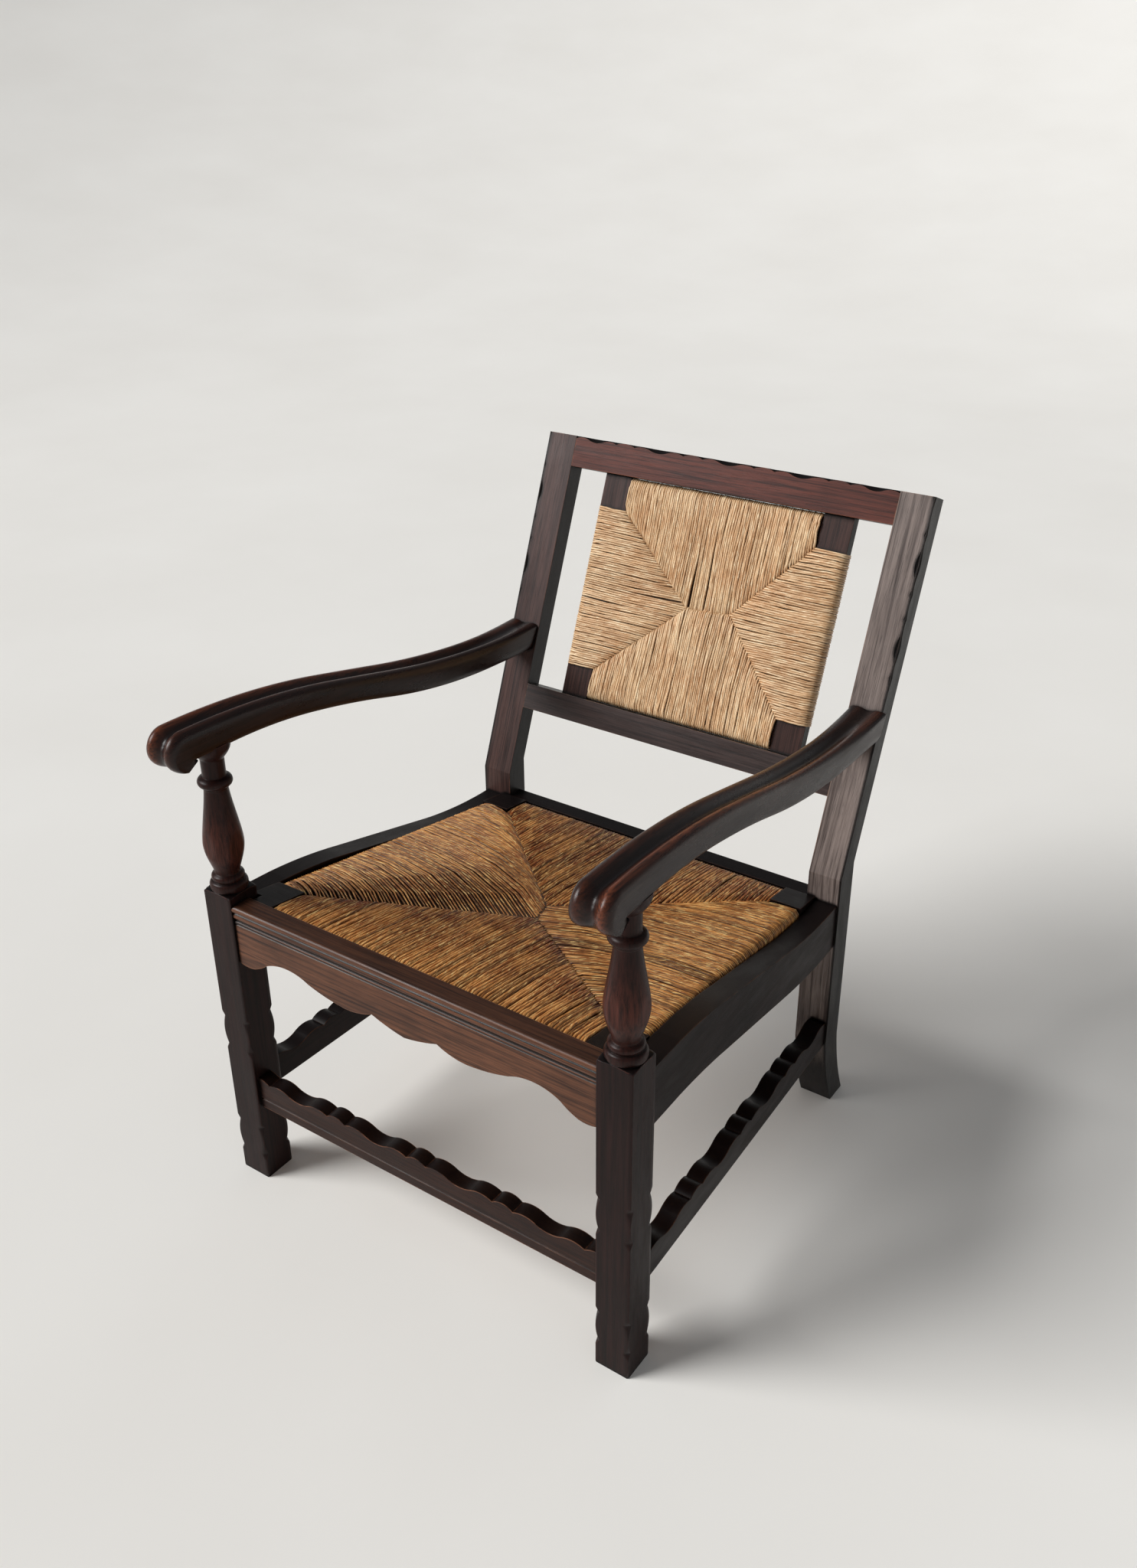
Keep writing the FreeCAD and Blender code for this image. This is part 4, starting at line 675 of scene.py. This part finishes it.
def rush_section(
    chance, origin, along, inward, up, start, end, seam, browned, parted=(), bow=0.0,
    *, pitch, half_height, sink, unruly, thick, gap_shade,
):
    """Strands of one section, as rings of six points along a path from seam to seam.

    A path starts at the seam on the show side, runs to the rail's edge at d = 0, goes round it
    as a squared half circle and back to the seam beneath. t is the place along the rail, d the
    depth in from its edge, h the height above the middle of the panel's thickness. The seam is a
    list of places t and depths s. Use has drawn the strands aside along t + bow d (d / s)^1.5,
    they waver together by a millimetre, and at each t in parted they stand apart near the seam.
    browned is how brown they are at the edge and at the seam.

    pitch is their spacing, half_height half the panel's thickness, sink how far its middle has
    sunk, unruly a strand's wander as a share of its pitch, thick half its own thickness, and gap
    how dark the painted shade in the gaps gets, from 0 to 1.
    """
    count = int(round((end - start) / pitch))
    step = (end - start) / count
    t = start + step * (np.arange(count) + 0.5)
    seam_t, seam_s = np.array(seam, float).T
    met_t = np.linspace(seam_t[0], seam_t[-1], 400)
    met_s = np.interp(met_t, seam_t, seam_s)
    s = np.interp(t, met_t - bow * met_s, met_s)
    t = t + chance.normal(0, 0.6 * unruly * step, count)
    edge, bend, squareness = thick - 0.2, 10.0, 0.65
    lift = chance.normal(0, 0.28, count)
    one = np.ones(count)
    angle = np.radians([62, 22, -22, -62])
    wrap_d = edge + bend * (1 - np.cos(angle) ** squareness)
    wrap_h = half_height * np.sign(angle) * np.abs(np.sin(angle)) ** squareness
    # A strand sags by more the deeper its seam is, and fully from 250 mm on
    depth = sink * np.clip(s / 250, 0.25, 1)
    # Six rings from the seam to the edge on the show side, four round the edge and two beneath
    d = np.stack(
        [s + 2.2, s - 3.5, s * 0.8, s * 0.55, s * 0.3, edge + bend * one]
        + [value * one for value in wrap_d]
        + [(s + 4) / 2, s + 1.5], 1,
    )
    h = np.stack(
        [half_height - depth - 3.6, half_height - depth - 1.0, half_height - depth * 0.85 + 0.4,
         half_height - depth * 0.5 + 0.8, half_height - depth * 0.2 + 0.8, half_height * one + 0.3]
        + [value * one for value in wrap_h]
        + [-half_height + depth * 0.35, -half_height + depth + 2.0], 1,
    )
    h[:, :6] += lift[:, None]
    wander = chance.normal(0, unruly * step, d.shape)
    wander += 7 * unruly * np.sin(d / 26 + 2.6 * np.sin(t / 43)[:, None])
    wander[:, 6:10] *= 0.3
    for place in parted:
        aside = np.sign(t - place) * 1.5 * np.exp(-np.abs(t - place) / 9)
        wander[:, :5] += aside[:, None] * (1.0, 1.0, 0.9, 0.4, 0.1)
    path_t = t[:, None] + bow * d * np.clip(d / s[:, None], 0, 1) ** 1.5
    width = np.gradient(path_t, axis=0)[..., None]
    path_t = path_t + wander
    slope_d, slope_h = np.gradient(d, axis=1), np.gradient(h, axis=1)
    size = np.hypot(slope_d, slope_h)
    out_d, out_h = slope_h / size, -slope_d / size
    plump = (1 + chance.normal(0, 0.07, count))[:, None, None]
    ring_t = path_t[..., None] + 0.53 * width * plump * np.cos(RING)
    ring_d = d[..., None] + out_d[..., None] * thick * plump * np.sin(RING)
    ring_h = h[..., None] + out_h[..., None] * thick * plump * np.sin(RING)
    points = (
        np.asarray(origin, float)
        + ring_t[..., None] * np.asarray(along, float)
        + ring_d[..., None] * np.asarray(inward, float)
        + ring_h[..., None] * np.asarray(up, float)
    )
    steps = np.hypot(np.diff(d, axis=1), np.diff(h, axis=1))
    run = np.concatenate([np.zeros((count, 1)), np.cumsum(steps, 1)], 1)
    first = chance.uniform(0, 3000, (2, count))
    u = run[..., None] + first[0][:, None, None] + 0 * ring_t
    v = np.arange(len(RING)) * RING_SIDE + first[1][:, None, None] + 0 * ring_t
    to_seam = (d / np.maximum(s, 1)[:, None])[..., None]
    values = {
        "own_shade": chance.uniform(0, 1, count)[:, None, None] + 0 * ring_t,
        "free_of_gap_shade": 1 - gap_shade * (1 - RING_UNSHADED) + 0 * ring_t,
        "browned": browned[0] + (browned[1] - browned[0]) * to_seam + 0 * ring_t,
    }
    return points, u, v, values


def rush_piece(name, sections, material, body, replaced):
    """All the strands of a panel as one mesh, with the map along each strand and its values.

    A facet that closes a ring takes the map on past its last point, not back to its first.
    """
    points, faces, maps, values, first = [], [], [], [], 0
    for grid, u, v, section_values in sections:
        count, path, ring = grid.shape[:3]
        quads = tube_faces(path, ring)
        ends = np.array([list(range(ring))[::-1], [(path - 1) * ring + k for k in range(ring)]])
        flat_u, flat_v = u.reshape(count, -1), v.reshape(count, -1)
        round_v = flat_v[:, quads]
        for after, before in ((1, 0), (2, 3)):
            wraps = round_v[..., after] < round_v[..., before]
            round_v[..., after] = np.where(wraps, round_v[..., before] + RING_SIDE, round_v[..., after])
        for strand in range(count):
            base = first + strand * path * ring
            faces += (quads + base).tolist() + (ends + base).tolist()
        corners = [
            np.concatenate([sides.reshape(count, -1), flat[:, ends].reshape(count, -1)], 1)
            for sides, flat in ((flat_u[:, quads], flat_u), (round_v, flat_v))
        ]
        maps.append(np.stack(corners, -1).reshape(-1, 2) / 1000)
        values.append(section_values)
        points.append(grid.reshape(-1, 3))
        first += count * path * ring
    piece = add_piece(name, np.concatenate(points), faces, material, body, replaced)
    layer = piece.data.uv_layers.new(name="strand")
    layer.data.foreach_set("uv", np.concatenate(maps).ravel())
    for key in values[0]:
        add_values(piece, key, np.concatenate([part[key].ravel() for part in values]))


WORN_RUSH = twisted_rush(
    "browned_twisted_rush", "#FFDA92", "#F4B368", "#C47A38", "#2C1306", "#96582E",
    patch_size=42, painted_shade=1.0, fleck_size=(18, 2.2),
)
# The panel is 26 mm thick and 428 mm up at its front edge, and falls towards the back. Blocks and
# tips are the seam's corners, as x and y, and the side edges come together by SIDE_SLANT.
SEAT_SLOPE = -0.15176
FRONT_EDGE, REAR_EDGE = 29.0, 529.8
SEAT_MIDDLE = 428.0 - 13.0 - SEAT_SLOPE * FRONT_EDGE
FRONT_BLOCK, REAR_BLOCK = (229.0, 89.0), (213.9, 482.8)
FRONT_TIP, REAR_TIP = (16.0, 240.0), (5.0, 275.0)
SIDE_X, SIDE_SLANT = 276.3, -0.03840


def seat_sections():
    """Front, rear and two side sections, the side strands drawn aslant by use"""
    chance = np.random.default_rng(7)
    origin = np.array((0.0, 0.0, SEAT_MIDDLE))
    up = (0.0, 0.0, 1.0)
    into = np.array((0.0, 1.0, SEAT_SLOPE))
    strands = dict(pitch=4.2, half_height=10.4, sink=4.5, unruly=0.15, thick=2.0, gap_shade=0.35)
    side_strands = dict(pitch=3.7, half_height=10.4, sink=4.5, unruly=0.15, thick=2.3, gap_shade=0.75)
    for way, edge, block, tip, browned in (
        (1, FRONT_EDGE, FRONT_BLOCK, FRONT_TIP, (0.1, 1.0)),
        (-1, REAR_EDGE, REAR_BLOCK, REAR_TIP, (0.6, 0.9)),
    ):
        deep = way * (block[1] - edge)
        seam = [(-block[0], deep), (way * tip[0], way * (tip[1] - edge)), (block[0], deep)]
        yield rush_section(
            chance, origin + into * edge, (way, 0, 0), way * into, up, -block[0] + 1, block[0] - 1,
            seam, browned, **strands,
        )
    for side in (1, -1):
        edge = np.array((side * SIDE_X, 0.0, SEAT_MIDDLE))
        along = np.array((side * SIDE_SLANT, 1.0, SEAT_SLOPE))
        marks = [(side * FRONT_BLOCK[0], FRONT_BLOCK[1]), FRONT_TIP, REAR_TIP,
                 (side * REAR_BLOCK[0], REAR_BLOCK[1])]
        seam = [(y, side * (side * (SIDE_X + SIDE_SLANT * y) - x)) for x, y in marks]
        if side > 0:
            yield rush_section(
                chance, edge, along, (-1, 0, 0), up, FRONT_BLOCK[1] + 1, REAR_BLOCK[1] - 1,
                seam, (0.15, 0.6), bow=-0.2, **side_strands,
            )
        else:
            yield rush_section(
                chance, edge, -along, (1, 0, 0), up, -REAR_BLOCK[1] + 1, -FRONT_BLOCK[1] - 1,
                [(-y, s) for y, s in reversed(seam)], (0.25, 0.7), bow=0.3, **side_strands,
            )


rush_piece("seat_rush_strands", seat_sections(), WORN_RUSH, "drop_in_seat", ["seat_rush"])


# Stuffing. Broken rush is packed between the two layers of strands as they are wound. Its colour
# is darkened as painted shade, so that it shows as shade in the gaps between them.
def rush_stuffing(name, dark, pale):
    """Loose broken rush in shadow: brown chaff with pale ends 5 mm long"""
    material, tree = new_material(name)
    place = add_node(tree, "ShaderNodeTexCoord").outputs["Object"]
    chaff = add_node(tree, "ShaderNodeTexNoise", Vector=place, Scale=400.0, Detail=3.0).outputs["Fac"]
    base = add_node(
        tree, "ShaderNodeMix", {"data_type": "RGBA"}, i0=chaff, i6=linear(dark), i7=linear(pale)
    ).outputs[2]
    relief = add_node(tree, "ShaderNodeBump", Strength=0.6, Distance=0.002, Height=chaff)
    shader = add_node(
        tree, "ShaderNodeBsdfPrincipled", Base_Color=base, Roughness=0.85, Normal=relief.outputs[0]
    )
    add_node(tree, "ShaderNodeOutputMaterial", Surface=shader.outputs[0])
    return material


STUFFING_IN_PAINTED_SHADE = rush_stuffing("packed_rush_chaff_painted_shade", "#1C1008", "#5A3A1C")


def stuffing_slab(name, corners, up, thickness, body):
    """A thin closed pillow over four corners.

    It is (0.55 + 0.45 (sin pi u sin pi v)^0.3) times its thickness thick at u and v, which run
    from 0 to 1 between the corners.
    """
    rows = 17
    u, v = np.meshgrid(np.linspace(0, 1, rows), np.linspace(0, 1, rows), indexing="ij")
    a, b, c, d = [np.asarray(corner, float) for corner in corners]
    flat = (
        ((1 - u) * (1 - v))[..., None] * a + (u * (1 - v))[..., None] * b
        + (u * v)[..., None] * c + ((1 - u) * v)[..., None] * d
    )
    swell = thickness / 2 * (0.55 + 0.45 * (np.sin(u * np.pi) * np.sin(v * np.pi)) ** 0.3)
    sheets = [flat + swell[..., None] * np.asarray(up) * way for way in (1, -1)]
    index = np.arange(rows ** 2).reshape(rows, rows)
    top = np.stack([index[:-1, :-1], index[1:, :-1], index[1:, 1:], index[:-1, 1:]], -1).reshape(-1, 4)
    bottom = top[:, ::-1] + rows ** 2
    rim = np.concatenate([index[:-1, 0], index[-1, :-1], index[:0:-1, -1], index[0, :0:-1]])
    after = np.roll(rim, -1)
    wall = np.stack([rim, rim + rows ** 2, after + rows ** 2, after], -1)
    add_piece(
        name, np.concatenate(sheets).reshape(-1, 3), np.concatenate([top, bottom, wall]).tolist(),
        STUFFING_IN_PAINTED_SHADE, body,
    )


stuffing_slab(
    "seat_stuffing",
    [(x, y, SEAT_MIDDLE + SEAT_SLOPE * y) for x, y in ((-232, 85), (232, 85), (217, 486), (-217, 486))],
    (0, 0, 1), 12.0, "drop_in_seat",
)


# Back rush. The same work on the two posts and their cross rails, newer and paler. Its side
# sections come to points, and between them the upright strands run through from rail to rail.
PALE_RUSH = twisted_rush(
    "pale_twisted_rush", "#FBE6C2", "#F0D4AE", "#DDB587", "#8A6038", "#D2A272",
    patch_size=45, painted_shade=0.5, fleck_size=(26, 4.5),
)
# Places on the panel are x and v, the way up its middle plane, which lies BACK_INSET behind the
# stiles' front. Its edges are at BACK_LOW, BACK_HIGH and BACK_HALF, and blocks and tips are the
# corners of its seam.
BACK_INSET = 17.5
BACK_FOOT = np.array((0.0, STILE_FRONT, STILE_ROOT)) - OUT_BACK * BACK_INSET
BACK_LOW, BACK_HIGH, BACK_HALF = 137.5, 453.5, 191.5
BLOCK_LOW, BLOCK_HIGH, BLOCK_X = 179.2, 408.9, 147.0
LEFT_TIP, RIGHT_TIP = (-19.0, 294.0), (47.0, 299.0)


def back_sections():
    """Top, bottom and two side sections, whose strands stand apart in four places"""
    chance = np.random.default_rng(11)
    strands = dict(pitch=3.0, half_height=10.2, sink=3.0, unruly=0.13, thick=1.7, gap_shade=0.35)
    side_strands = dict(pitch=3.0, half_height=10.2, sink=3.0, unruly=0.10, thick=1.8, gap_shade=0.8)
    browned = (0.3, 0.5)
    seams = [
        [(-BLOCK_X, block), LEFT_TIP, RIGHT_TIP, (BLOCK_X, block)] for block in (BLOCK_HIGH, BLOCK_LOW)
    ]
    yield rush_section(
        chance, BACK_FOOT + UP_BACK * BACK_HIGH, (-1, 0, 0), -UP_BACK, OUT_BACK, -BLOCK_X + 1, BLOCK_X - 1,
        [(-x, BACK_HIGH - v) for x, v in reversed(seams[0])], browned, (17.0, -5.0), **strands,
    )
    yield rush_section(
        chance, BACK_FOOT + UP_BACK * BACK_LOW, (1, 0, 0), UP_BACK, OUT_BACK, -BLOCK_X + 1, BLOCK_X - 1,
        [(x, v - BACK_LOW) for x, v in seams[1]], browned, (-19.0,), **strands,
    )
    for side, tip in ((1, RIGHT_TIP), (-1, LEFT_TIP)):
        deep = BACK_HALF - BLOCK_X
        seam = [(BLOCK_LOW, deep), (tip[1], BACK_HALF - side * tip[0]), (BLOCK_HIGH, deep)]
        origin = BACK_FOOT + np.array((side * BACK_HALF, 0.0, 0.0))
        if side > 0:
            yield rush_section(
                chance, origin, UP_BACK, (-1, 0, 0), OUT_BACK, BLOCK_LOW + 1, BLOCK_HIGH - 1,
                seam, browned, **side_strands,
            )
        else:
            yield rush_section(
                chance, origin, -UP_BACK, (1, 0, 0), OUT_BACK, -BLOCK_HIGH + 1, -BLOCK_LOW - 1,
                [(-v, s) for v, s in reversed(seam)], browned, (-300.0,), **side_strands,
            )


rush_piece("back_rush_strands", back_sections(), PALE_RUSH, "chair_frame", ["back_rush"])

stuffing_slab(
    "back_stuffing",
    [BACK_FOOT + UP_BACK * v + np.array((x, 0.0, 0.0))
     for x, v in ((-146, 138.3), (146, 138.3), (146, 452.7), (-146, 452.7))],
    OUT_BACK, 11.0, "chair_frame",
)
